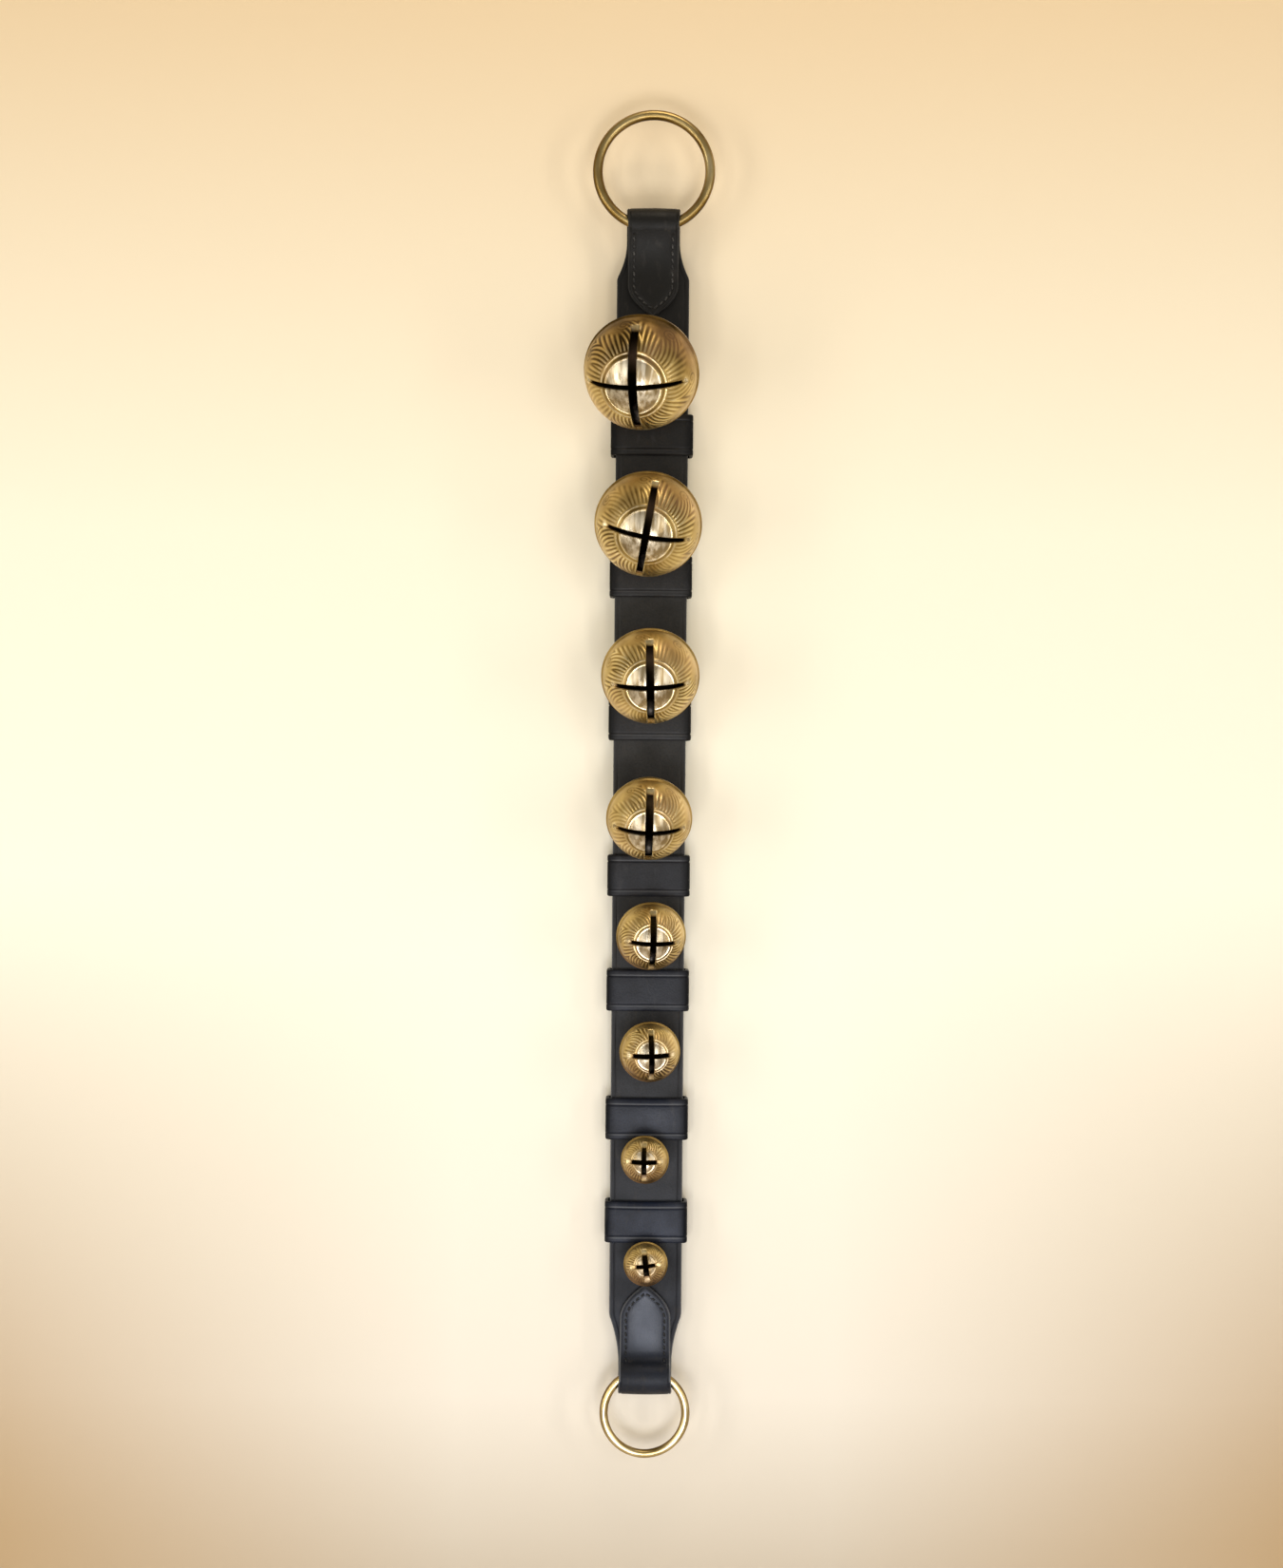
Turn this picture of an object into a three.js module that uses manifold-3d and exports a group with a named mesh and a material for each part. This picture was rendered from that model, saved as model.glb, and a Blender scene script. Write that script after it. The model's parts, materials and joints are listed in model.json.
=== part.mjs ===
// Sleigh bell strap: a folded leather strap with a ring at each end, eight cast bells and seven keepers.
// Millimetres. +Z runs up the strap, -Y is the front and +X is to the right as seen from the front.
// The origin is the point that the strap hangs from: the inside of the top ring's wire, at its top.
import * as THREE from "three";
import { mergeVertices } from "three/addons/utils/BufferGeometryUtils.js";
import Module from "manifold-3d";

const wasm = await Module();
wasm.setup();

// Driving dimensions: fits
const CLEARANCE = 0.3; // between pieces that touch, slide or turn on each other
const CUT_PAST = 2; // how far a cutting shape runs past the face that it cuts

// Driving dimensions: leather
const STRAP_WIDTH = 38.1;
const STRAP_THICKNESS = 3;
const LINER_THICKNESS = 4;
const FOLD_WIDTH = 28; // the strap's width where it folds round a ring
const TONGUE_TRIM = 0.7; // how much narrower than the fold the tongue is, at each side
const FOLD_WRAP = 62; // degrees that the fold goes on round the ring past its front
const FOLD_RETURN_RADIUS = 4.5; // centre line of the bend back to the strap, where there is room for it

// Driving dimensions: rings, by inside diameter and wire
const TOP_RING_INSIDE = 53.8;
const TOP_RING_WIRE = 5.2;
const BOTTOM_RING_INSIDE = 38.5;
const BOTTOM_RING_WIRE = 4.4;

// Driving dimensions: the strap's two ends, measured from the middle of the fold along the strap
const TOP_NECK = 8.3; // length at the fold's width
const TOP_SHOULDER = 19; // length of the taper out to the full width
const TOP_TONGUE = 48.4; // reach of the folded tongue
const TOP_POINT = 17; // length of the tongue's pointed end
const BOTTOM_NECK = 4.9;
const BOTTOM_SHOULDER = 26;
const BOTTOM_TONGUE = 48;
const BOTTOM_POINT = 18;

// Driving dimensions: stitching along the tongues
const THREAD_DIAMETER = 1;
const THREAD_TENSION = 0.3; // how tightly the thread's curve keeps to the points that it goes through
const STITCH_INSET = 3.2; // from the tongue's edge to the thread
const STITCH_START = 1.5; // from the bend behind the ring to the first stitch

// Driving dimensions: keepers, which are leather sleeves round the strap and its liner
const KEEPER_HEIGHT = 21.7;
const KEEPER_WALL = 2.4;
const KEEPER_CORNER = 2.6; // outside radius of the folds at the sides

// Driving dimensions: bells
const BELL_WALL = 2;
const RIM_PROUD = 0.8; // how far the rim stands out from the ball
const RIM_WIDTH = 1.8; // the rim's width along the bell's axis
const SLOT_CROSSING = 90; // degrees between the two slots
const SLOT_RUN_OUT = 3.6; // length of the ramp at each end of a sawn slot, along the ball
const PIN_DIAMETER = 2.4;
const PIN_LENGTH = 22;
const EYE_WALL = 1; // metal left round the pin's hole in the shank

// Driving dimensions: each bell from the top down. Angles are in degrees: reach of the slots from the
// middle of the front to where they stop going through the wall, droop of the front at rest, lean to
// the right, turn of the slots (clockwise from the front) and lift of the nod from rest.
// gapAbove is the least gap to the keeper, or to the top tongue, above the bell, and gapBelow the gap
// at rest to the keeper, or to the bottom tongue, under it.
const BELLS = [
  {
    rim: 60, pellet: 11, tallSlot: 4.4, tallReach: 62, crossSlot: 2.5, crossReach: 56,
    droop: 27, lean: -9, turn: -2.7, lift: 20, gapAbove: 19.3, gapBelow: 4.8,
  },
  {
    rim: 55.5, pellet: 10, tallSlot: 3.5, tallReach: 62, crossSlot: 2.5, crossReach: 49,
    droop: 21.5, lean: -3, turn: 9.4, lift: 20, gapAbove: 25.6, gapBelow: 2.3,
  },
  {
    rim: 50.8, pellet: 9.5, tallSlot: 3.9, tallReach: 56, crossSlot: 2.5, crossReach: 47,
    droop: 18.2, lean: 0, turn: -1.5, lift: 18, gapAbove: 27, gapBelow: 0.4,
  },
  {
    rim: 44.6, pellet: 8.5, tallSlot: 3.9, tallReach: 58, crossSlot: 2.3, crossReach: 50,
    droop: 20.5, lean: 0, turn: 1, lift: 20, gapAbove: 26.2, gapBelow: 9.8,
  },
  {
    rim: 36.3, pellet: 7, tallSlot: 3.1, tallReach: 54, crossSlot: 2.3, crossReach: 43,
    droop: 10.6, lean: 4, turn: 1.5, lift: 12, gapAbove: 7.2, gapBelow: 10.1,
  },
  {
    rim: 31.6, pellet: 6.5, tallSlot: 2.7, tallReach: 47, crossSlot: 2.6, crossReach: 43,
    droop: 2.9, lean: 4, turn: -1.3, lift: 8, gapAbove: 8.9, gapBelow: 18.2,
  },
  {
    rim: 25, pellet: 5.5, tallSlot: 2.5, tallReach: 42, crossSlot: 2.4, crossReach: 39,
    droop: -2, lean: -3, turn: 0, lift: 4, gapAbove: 0.4, gapBelow: 16.8,
  },
  {
    rim: 23, pellet: 5, tallSlot: 2.8, tallReach: 34, crossSlot: 2, crossReach: 31,
    droop: -5.2, lean: 0, turn: -6.5, lift: 5, gapAbove: 0.8, gapBelow: 6,
  },
];

// How finely round shapes are divided
const RING_STEPS = 32;
const WIRE_SIDES = 8;
const BELL_SIDES = 18;
const BALL_ROWS = 10;
const PIN_SIDES = 8;
const FOLD_SIDES = 12; // sides to each arc of a fold
const ARC_STEPS = 4; // steps along each short curve
const CORNER_STEPS = 2; // half the sides of each small round corner
const THREAD_STEPS = 16;
const REACH_STEPS = 8; // places tried along a bell's nod
const SAME_POINT = 1e-4; // corners nearer than this are one corner

const DEGREE = Math.PI / 180;
const cosine = (degrees) => Math.cos(degrees * DEGREE);
const sine = (degrees) => Math.sin(degrees * DEGREE);

// Solids: three.js shapes joined and cut
function solidOf(geometry) {
  const bare = geometry.clone();
  bare.deleteAttribute("normal");
  bare.deleteAttribute("uv");
  const merged = mergeVertices(bare, SAME_POINT);
  const vertProperties = new Float32Array(merged.attributes.position.array);
  const triVerts = new Uint32Array(merged.index.array);
  return new wasm.Manifold(new wasm.Mesh({ numProp: 3, vertProperties, triVerts }));
}

function geometryOf(solid) {
  const { vertProperties, triVerts } = solid.getMesh();
  const geometry = new THREE.BufferGeometry();
  geometry.setAttribute("position", new THREE.BufferAttribute(vertProperties, 3));
  geometry.setIndex(new THREE.BufferAttribute(triVerts, 1));
  geometry.computeVertexNormals();
  return geometry;
}

// A shape drawn in X and Z, given a thickness from near to far along Y
function slab(shape, near, far) {
  const geometry = new THREE.ExtrudeGeometry(shape, {
    depth: far - near,
    bevelEnabled: false,
    curveSegments: CORNER_STEPS,
  });
  return geometry.rotateX(Math.PI / 2).translate(0, far, 0);
}

// A shape drawn in Y and Z, given a width along X
function sideSlab(shape, width) {
  const geometry = new THREE.ExtrudeGeometry(shape, {
    depth: width,
    bevelEnabled: false,
    curveSegments: FOLD_SIDES / 2,
  });
  const yzx = new THREE.Matrix4().set(0, 0, 1, -width / 2, 1, 0, 0, 0, 0, 1, 0, 0, 0, 0, 0, 1);
  return geometry.applyMatrix4(yzx);
}

function rod(diameter, length, sides) {
  return new THREE.CylinderGeometry(diameter / 2, diameter / 2, length, sides);
}

// Materials
function leather(color, roughness) {
  return new THREE.MeshStandardMaterial({ color, roughness, metalness: 0 });
}

function metal(color, roughness) {
  return new THREE.MeshStandardMaterial({ color, roughness, metalness: 1 });
}

const STRAP_BLACK = leather(0x262424, 0.55);
const KEEPER_BLACK = leather(0x2b2a2b, 0.5);
const LINER_BLACK = leather(0x201e1d, 0.8);
const THREAD_GREY = leather(0x3a3836, 0.85);
const BELL_BRASS = metal(0xb99250, 0.3);
const RING_BRASS = metal(0xcaa45c, 0.25);
const STEEL = metal(0x77746f, 0.45);

// Rings and the folds that hold them. A fold is straight, and the wire in it bends, so the fold's
// inside is round with room for the wire's reach from the middle of the fold to the fold's edges.
function ringAndFold(inside, wire, neck, shoulder, tongue, point) {
  const outerRadius = inside / 2 + wire;
  const innerAtEdge = Math.sqrt((inside / 2) ** 2 - (FOLD_WIDTH / 2) ** 2);
  const halfFacet = ((Math.PI + FOLD_WRAP * DEGREE) / FOLD_SIDES) / 2;
  return {
    wire,
    wireRadius: (inside + wire) / 2,
    toFold: (outerRadius + innerAtEdge) / 2,
    foldRadius: ((outerRadius - innerAtEdge) / 2 + CLEARANCE) / Math.cos(halfFacet),
    neck,
    shoulder,
    tongue,
    point,
  };
}

const TOP = ringAndFold(TOP_RING_INSIDE, TOP_RING_WIRE, TOP_NECK, TOP_SHOULDER, TOP_TONGUE, TOP_POINT);
const BOTTOM = ringAndFold(
  BOTTOM_RING_INSIDE, BOTTOM_RING_WIRE, BOTTOM_NECK, BOTTOM_SHOULDER, BOTTOM_TONGUE, BOTTOM_POINT,
);

// Layers, from the front to the back
const STRAP_FRONT = TOP.foldRadius;
const STRAP_BACK = STRAP_FRONT + STRAP_THICKNESS;
const LINER_FRONT = STRAP_BACK + CLEARANCE;
const LINER_BACK = LINER_FRONT + LINER_THICKNESS;
const TONGUE_BACK = STRAP_FRONT - CLEARANCE;
const TONGUE_FRONT = TONGUE_BACK - STRAP_THICKNESS;
const PIN_Y = (STRAP_BACK + LINER_FRONT) / 2;
const PIN_TO_FRONT = PIN_Y - STRAP_FRONT;
const KEEPER_FRONT = STRAP_FRONT - CLEARANCE - KEEPER_WALL;
const KEEPER_BACK = LINER_BACK + CLEARANCE + KEEPER_WALL;

// Bells: what follows from each bell's own sizes
function bellSizes(bell, index) {
  const ball = bell.rim / 2 - RIM_PROUD;
  const looseEye = PIN_DIAMETER / 2 + CLEARANCE;
  const shank = (looseEye + EYE_WALL) / (1 - Math.tan(Math.abs(bell.lean) * DEGREE));
  const arm = (ball + PIN_TO_FRONT + CLEARANCE) / (cosine(bell.droop) * cosine(bell.lean));
  const made = { ...bell, number: index + 1, ball, shank, eye: shank - EYE_WALL, arm };
  made.top = ballEdge(made, bell.droop, KEEPER_FRONT, 1);
  for (let k = 1; k <= REACH_STEPS; k++) {
    const droop = bell.droop - (bell.lift * k) / REACH_STEPS;
    made.top = Math.max(made.top, ballEdge(made, droop, KEEPER_FRONT, 1));
  }
  made.bottom = ballEdge(made, bell.droop, KEEPER_FRONT, -1);
  return made;
}

// The ball's upper (side 1) or lower (side -1) edge, from its pin's height, in an upright plane at y
function ballEdge(bell, droop, y, side) {
  const middleY = PIN_Y - bell.arm * cosine(droop) * cosine(bell.lean);
  const middleZ = -bell.arm * sine(droop) * cosine(bell.lean);
  const chord = Math.sqrt(Math.max(0, bell.ball ** 2 - (y - middleY) ** 2));
  return middleZ + side * Math.max(chord, bell.shank);
}

// Heights down the strap: each piece follows the one above it
const bells = BELLS.map(bellSizes);
const keepers = [];
TOP.ringZ = -TOP_RING_INSIDE / 2;
TOP.foldZ = TOP.ringZ - TOP.toFold;
let edgeAbove = TOP.foldZ - TOP.tongue;
for (const bell of bells) {
  bell.pinZ = edgeAbove - bell.gapAbove - bell.top;
  edgeAbove = bell.pinZ + bell.bottom - bell.gapBelow;
  if (bell !== bells.at(-1)) {
    keepers.push({ number: bell.number, z: edgeAbove - KEEPER_HEIGHT / 2 });
    edgeAbove -= KEEPER_HEIGHT;
  }
}
BOTTOM.foldZ = edgeAbove - BOTTOM.tongue;
BOTTOM.ringZ = BOTTOM.foldZ - BOTTOM.toFold;
TOP.foldY = STRAP_FRONT - TOP.foldRadius;
BOTTOM.foldY = STRAP_FRONT - BOTTOM.foldRadius;

function ring(end) {
  const geometry = new THREE.TorusGeometry(end.wireRadius, end.wire / 2, WIRE_SIDES, RING_STEPS);
  return geometry.rotateX(Math.PI / 2);
}

// Where the leather bends back to the strap past the ring, with the fold's middle at height 0
function foldReturn(end) {
  const wrap = FOLD_WRAP * DEGREE;
  const half = STRAP_THICKNESS / 2;
  const tongueY = (TONGUE_BACK + TONGUE_FRONT) / 2;
  const leaveY = end.foldY - (end.foldRadius + half) * Math.cos(wrap);
  const leaveZ = -(end.foldRadius + half) * Math.sin(wrap);
  const mostReturn = (tongueY - leaveY) / (1 - Math.cos(wrap));
  const radius = Math.min(FOLD_RETURN_RADIUS, mostReturn);
  const y = tongueY - radius;
  const run = (y + radius * Math.cos(wrap) - leaveY) / Math.sin(wrap);
  const z = leaveZ - run * Math.cos(wrap) - radius * Math.sin(wrap);
  return { radius, y, z };
}

TOP.bend = foldReturn(TOP);
BOTTOM.bend = foldReturn(BOTTOM);

// The fold seen from the side, with the fold's middle at height 0 and the strap below it: up the
// strap's front, over the ring, past its front, back to the strap, down to the tongue's tip and back
// along the other face to the strap's back.
function foldOutline(end) {
  const wrap = FOLD_WRAP * DEGREE;
  const half = STRAP_THICKNESS / 2;
  const path = new THREE.Path();
  path.absarc(end.foldY, 0, end.foldRadius, 0, Math.PI + wrap, false);
  path.absarc(end.bend.y, end.bend.z, end.bend.radius + half, wrap, 0, true);
  path.lineTo(TONGUE_BACK, -end.tongue);
  path.lineTo(TONGUE_FRONT, -end.tongue);
  path.absarc(end.bend.y, end.bend.z, end.bend.radius - half, 0, wrap, false);
  path.absarc(end.foldY, 0, end.foldRadius + STRAP_THICKNESS, Math.PI + wrap, 0, true);
  return path.getPoints(FOLD_SIDES / 2);
}

// The whole strap seen from the side, with a fold at each end
function strapSide() {
  const top = foldOutline(TOP).map((p) => new THREE.Vector2(p.x, TOP.foldZ + p.y));
  const bottom = foldOutline(BOTTOM).map((p) => new THREE.Vector2(p.x, BOTTOM.foldZ - p.y));
  return new THREE.Shape([...top, ...bottom.reverse()]);
}

// One edge of the tongue, drawn in by an inset, from a height down to its tip
function tongueEdge(end, inset, fromZ) {
  const edge = FOLD_WIDTH / 2 - TONGUE_TRIM;
  const half = edge - inset;
  const length = end.point * (half / edge);
  const startZ = -(end.tongue - end.point);
  const points = [new THREE.Vector2(half, fromZ)];
  for (let k = 0; k <= ARC_STEPS; k++) {
    const share = k / ARC_STEPS;
    points.push(new THREE.Vector2(half * (1 - share ** 2), startZ - length * share));
  }
  return points;
}

function withMirror(edge) {
  const mirrored = edge.slice(0, -1).map((p) => new THREE.Vector2(-p.x, p.y));
  return [...edge, ...mirrored.reverse()];
}

function stitchLine(end) {
  const points = withMirror(tongueEdge(end, STITCH_INSET, end.bend.z - STITCH_START));
  return new THREE.CatmullRomCurve3(
    points.map((p) => new THREE.Vector3(p.x, TONGUE_FRONT, p.y)), false, "catmullrom", THREAD_TENSION,
  );
}

function threadAlong(end, diameter) {
  const section = new THREE.Shape().absarc(0, 0, diameter / 2, 0, 2 * Math.PI);
  return new THREE.ExtrudeGeometry(section, {
    steps: THREAD_STEPS,
    curveSegments: CORNER_STEPS + 1,
    extrudePath: stitchLine(end),
  });
}

// Puts an end's geometry, drawn with the strap below the fold, at the top or, turned over, at the bottom
function placeEnd(geometry, end) {
  if (end === BOTTOM) geometry.rotateY(Math.PI);
  return geometry.translate(0, 0, end.foldZ);
}

// What is cut away beside the tongue, in front of the strap
function besideTongue(end) {
  const front = end.foldY - end.foldRadius - STRAP_THICKNESS - CUT_PAST;
  const back = (TONGUE_BACK + STRAP_FRONT) / 2;
  const length = end.tongue + CUT_PAST;
  const block = new THREE.BoxGeometry(STRAP_WIDTH + 2 * CUT_PAST, back - front, length);
  block.translate(0, (front + back) / 2, -length / 2);
  const outline = new THREE.Shape(withMirror(tongueEdge(end, 0, CUT_PAST)));
  const tongue = slab(outline, front - CUT_PAST, back + CUT_PAST);
  return solidOf(placeEnd(block, end)).subtract(solidOf(placeEnd(tongue, end)));
}

// Shanks and their pins, as rooms cut into the leather. A faceted room is drawn round the circle of
// its clearance, so that its flats stay clear of the piece inside.
function clearOf(radius) {
  return (radius + CLEARANCE) / Math.cos(Math.PI / PIN_SIDES);
}

function pinRoom(bell) {
  const room = rod(2 * clearOf(PIN_DIAMETER / 2), PIN_LENGTH + 2 * CLEARANCE, PIN_SIDES);
  return room.rotateZ(Math.PI / 2).translate(0, PIN_Y, bell.pinZ);
}

function shankEndRoom(bell) {
  const room = new THREE.SphereGeometry(clearOf(bell.shank), PIN_SIDES, PIN_SIDES);
  return room.translate(0, PIN_Y, bell.pinZ);
}

// The way through the leather for a shank as it nods, cut from near to far
function shankSlot(bell, near, far) {
  const raised = bell.droop - bell.lift;
  const lowAxis = Math.min(0, -PIN_TO_FRONT * Math.tan(bell.droop * DEGREE));
  const highAxis = Math.max(0, -PIN_TO_FRONT * Math.tan(raised * DEGREE));
  const low = lowAxis - bell.shank / cosine(bell.droop);
  const high = highAxis + bell.shank / cosine(raised);
  const half = bell.shank + PIN_TO_FRONT * Math.tan(Math.abs(bell.lean) * DEGREE) + 2 * CLEARANCE;
  const bottom = Math.min(low - 2 * CLEARANCE + half, 0);
  const top = Math.max(high + 2 * CLEARANCE - half, 0);
  const shape = new THREE.Shape();
  shape.absarc(0, top, half, 0, Math.PI, false);
  shape.absarc(0, bottom, half, Math.PI, 2 * Math.PI, false);
  return slab(shape, near, far).translate(0, 0, bell.pinZ);
}

function strapOutline() {
  const shape = new THREE.Shape();
  const fold = FOLD_WIDTH / 2;
  const full = STRAP_WIDTH / 2;
  const topNeck = TOP.foldZ - TOP.neck;
  const topFull = topNeck - TOP.shoulder;
  const bottomNeck = BOTTOM.foldZ + BOTTOM.neck;
  const bottomFull = bottomNeck + BOTTOM.shoulder;
  const above = TOP.foldZ + TOP.foldRadius + STRAP_THICKNESS + CUT_PAST;
  const below = BOTTOM.foldZ - BOTTOM.foldRadius - STRAP_THICKNESS - CUT_PAST;
  shape.moveTo(fold, above);
  shape.lineTo(fold, topNeck);
  shape.quadraticCurveTo(fold, (topNeck + topFull) / 2, full, topFull);
  shape.lineTo(full, bottomFull);
  shape.quadraticCurveTo(fold, (bottomNeck + bottomFull) / 2, fold, bottomNeck);
  shape.lineTo(fold, below);
  shape.lineTo(-fold, below);
  shape.lineTo(-fold, bottomNeck);
  shape.quadraticCurveTo(-fold, (bottomNeck + bottomFull) / 2, -full, bottomFull);
  shape.lineTo(-full, topFull);
  shape.quadraticCurveTo(-fold, (topNeck + topFull) / 2, -fold, topNeck);
  shape.lineTo(-fold, above);
  return shape;
}

function mainStrap() {
  const folded = solidOf(sideSlab(strapSide(), STRAP_WIDTH + 2 * CUT_PAST));
  const deepest = TOP.foldRadius + BOTTOM.foldRadius + STRAP_THICKNESS + CUT_PAST;
  const seenFromFront = slab(strapOutline(), STRAP_FRONT - 2 * deepest, STRAP_BACK + CUT_PAST);
  let strap = folded.intersect(solidOf(seenFromFront));
  for (const end of [TOP, BOTTOM]) {
    strap = strap.subtract(besideTongue(end));
    strap = strap.subtract(solidOf(placeEnd(threadAlong(end, THREAD_DIAMETER + 2 * CLEARANCE), end)));
  }
  for (const bell of bells) {
    strap = strap.subtract(solidOf(pinRoom(bell)));
    strap = strap.subtract(solidOf(shankSlot(bell, STRAP_FRONT - CUT_PAST, STRAP_BACK + CUT_PAST)));
  }
  return strap;
}

function backLiner() {
  const top = TOP.foldZ - TOP.neck - TOP.shoulder;
  const bottom = BOTTOM.foldZ + BOTTOM.neck + BOTTOM.shoulder;
  const strip = new THREE.BoxGeometry(STRAP_WIDTH, LINER_THICKNESS, top - bottom);
  let liner = solidOf(strip.translate(0, (LINER_FRONT + LINER_BACK) / 2, (top + bottom) / 2));
  for (const bell of bells) {
    liner = liner.subtract(solidOf(pinRoom(bell)));
    liner = liner.subtract(solidOf(shankEndRoom(bell)));
    const lowSide = PIN_Y + bell.shank * sine(Math.abs(bell.droop)) + CLEARANCE;
    liner = liner.subtract(solidOf(shankSlot(bell, STRAP_BACK - CUT_PAST, lowSide)));
  }
  return liner;
}

// A rectangle in X and Y with round corners
function roundedRectangle(path, halfWidth, near, far, radius) {
  path.absarc(halfWidth - radius, far - radius, radius, 0, Math.PI / 2);
  path.absarc(radius - halfWidth, far - radius, radius, Math.PI / 2, Math.PI);
  path.absarc(radius - halfWidth, near + radius, radius, Math.PI, 1.5 * Math.PI);
  path.absarc(halfWidth - radius, near + radius, radius, 1.5 * Math.PI, 2 * Math.PI);
  path.closePath();
  return path;
}

function keeperSleeve() {
  const inner = STRAP_WIDTH / 2 + CLEARANCE;
  const bore = Math.max(KEEPER_CORNER - KEEPER_WALL, CLEARANCE / 2);
  const shape = roundedRectangle(
    new THREE.Shape(), inner + KEEPER_WALL, KEEPER_FRONT, KEEPER_BACK, KEEPER_CORNER,
  );
  const hole = roundedRectangle(
    new THREE.Path(), inner, KEEPER_FRONT + KEEPER_WALL, KEEPER_BACK - KEEPER_WALL, bore,
  );
  shape.holes.push(hole);
  const geometry = new THREE.ExtrudeGeometry(shape, {
    depth: KEEPER_HEIGHT,
    bevelEnabled: false,
    curveSegments: CORNER_STEPS,
  });
  return geometry.translate(0, 0, -KEEPER_HEIGHT / 2);
}

// A bell in its own frame: the pin's hole lies along X through the origin, and the front is -Y
function bellOutside(bell) {
  const points = [];
  const rimHalf = RIM_WIDTH / 2;
  const rimAngle = Math.acos(Math.min(rimHalf / bell.ball, 1));
  const neckAngle = Math.PI - Math.asin(bell.shank / bell.ball);
  for (let k = 0; k <= BALL_ROWS / 2; k++) {
    const angle = (rimAngle * k) / (BALL_ROWS / 2);
    points.push(new THREE.Vector2(bell.ball * Math.sin(angle), -bell.arm - bell.ball * Math.cos(angle)));
  }
  points.push(new THREE.Vector2(bell.rim / 2, -bell.arm - rimHalf / 2));
  points.push(new THREE.Vector2(bell.rim / 2, -bell.arm + rimHalf / 2));
  for (let k = 0; k <= BALL_ROWS / 2; k++) {
    const angle = Math.PI - rimAngle + ((neckAngle - Math.PI + rimAngle) * k) / (BALL_ROWS / 2);
    points.push(new THREE.Vector2(bell.ball * Math.sin(angle), -bell.arm - bell.ball * Math.cos(angle)));
  }
  for (let k = 0; k <= ARC_STEPS - 1; k++) {
    const angle = (Math.PI / 2) * (k / (ARC_STEPS - 1));
    points.push(new THREE.Vector2(bell.shank * Math.cos(angle), bell.shank * Math.sin(angle)));
  }
  points[0].x = 0;
  points.at(-1).x = 0;
  return new THREE.LatheGeometry(points, BELL_SIDES);
}

function bellInside(bell) {
  const radius = bell.ball - BELL_WALL;
  return new THREE.SphereGeometry(radius, BELL_SIDES, BALL_ROWS - 2).translate(0, -bell.arm, 0);
}

// A sawn slot of one width across the front, turned about the bell's axis. It goes through the wall as
// far as its reach, and a ramp at each end climbs from there to the ball's surface.
function slotCutter(bell, width, reach, turn) {
  const end = Math.PI + reach * DEGREE;
  const inner = polar(bell.ball - BELL_WALL, end);
  const outer = polar(bell.ball, end + SLOT_RUN_OUT / bell.ball);
  const ramp = (share) => new THREE.Vector2().lerpVectors(inner, outer, share);
  const deep = ramp(-1);
  const past = ramp(2);
  const profile = new THREE.Shape();
  profile.absarc(0, 0, past.length(), 2 * Math.PI - past.angle(), past.angle());
  profile.lineTo(deep.x, deep.y);
  profile.lineTo(deep.x, -deep.y);
  return solidOf(sideSlab(profile, width).translate(0, -bell.arm, 0).rotateY(turn * DEGREE));
}

function polar(radius, angle) {
  return new THREE.Vector2(radius * Math.cos(angle), radius * Math.sin(angle));
}

function bellCasting(bell) {
  let casting = solidOf(bellOutside(bell)).subtract(solidOf(bellInside(bell)));
  const slots = [
    slotCutter(bell, bell.tallSlot, bell.tallReach, bell.turn),
    slotCutter(bell, bell.crossSlot, bell.crossReach, bell.turn + SLOT_CROSSING),
  ];
  for (const cutter of slots) casting = casting.subtract(cutter);
  const eye = rod(2 * bell.eye, 2 * (bell.shank + CUT_PAST), PIN_SIDES).rotateZ(Math.PI / 2);
  return casting.subtract(solidOf(eye));
}

// The part
const part = new THREE.Group();

function addPiece(name, geometry, material, parent = part) {
  const mesh = new THREE.Mesh(geometry, material);
  mesh.name = name;
  parent.add(mesh);
  return mesh;
}

addPiece("top_ring", ring(TOP), RING_BRASS).position.set(0, TOP.foldY, TOP.ringZ);
addPiece("bottom_ring", ring(BOTTOM), RING_BRASS).position.set(0, BOTTOM.foldY, BOTTOM.ringZ);
addPiece("main_strap", geometryOf(mainStrap()), STRAP_BLACK);
addPiece("back_liner", geometryOf(backLiner()), LINER_BLACK);
addPiece("top_stitching", placeEnd(threadAlong(TOP, THREAD_DIAMETER), TOP), THREAD_GREY);
addPiece("bottom_stitching", placeEnd(threadAlong(BOTTOM, THREAD_DIAMETER), BOTTOM), THREAD_GREY);

for (const keeper of keepers) {
  addPiece(`keeper_${keeper.number}`, keeperSleeve(), KEEPER_BLACK).position.z = keeper.z;
}

for (const bell of bells) {
  const pin = addPiece(`shank_pin_${bell.number}`, rod(PIN_DIAMETER, PIN_LENGTH, PIN_SIDES), STEEL);
  pin.rotation.z = Math.PI / 2;
  pin.position.set(0, PIN_Y, bell.pinZ);

  const hung = new THREE.Group();
  hung.position.set(0, PIN_Y, bell.pinZ);
  hung.rotation.set(bell.droop * DEGREE, 0, bell.lean * DEGREE, "XZY");
  part.add(hung);
  addPiece(`bell_${bell.number}`, geometryOf(bellCasting(bell)), BELL_BRASS, hung);

  const ballMiddle = hung.localToWorld(new THREE.Vector3(0, -bell.arm, 0));
  const facetShare = Math.cos(Math.PI / BELL_SIDES) * Math.cos(Math.PI / (2 * (BALL_ROWS - 2)));
  const hollow = (bell.ball - BELL_WALL) * facetShare;
  const pellet = new THREE.SphereGeometry(bell.pellet / 2, PIN_SIDES, PIN_SIDES - 2);
  const drop = hollow - bell.pellet / 2 - CLEARANCE;
  addPiece(`pellet_${bell.number}`, pellet, STEEL).position.copy(ballMiddle).z -= drop;
}

export default part;
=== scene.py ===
"""Looks of a sleigh bell strap, in metres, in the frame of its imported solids.

+Z runs up the strap, -Y is the front and +X is to the right as seen from the front.
"""

import json
import math
from types import SimpleNamespace

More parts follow.
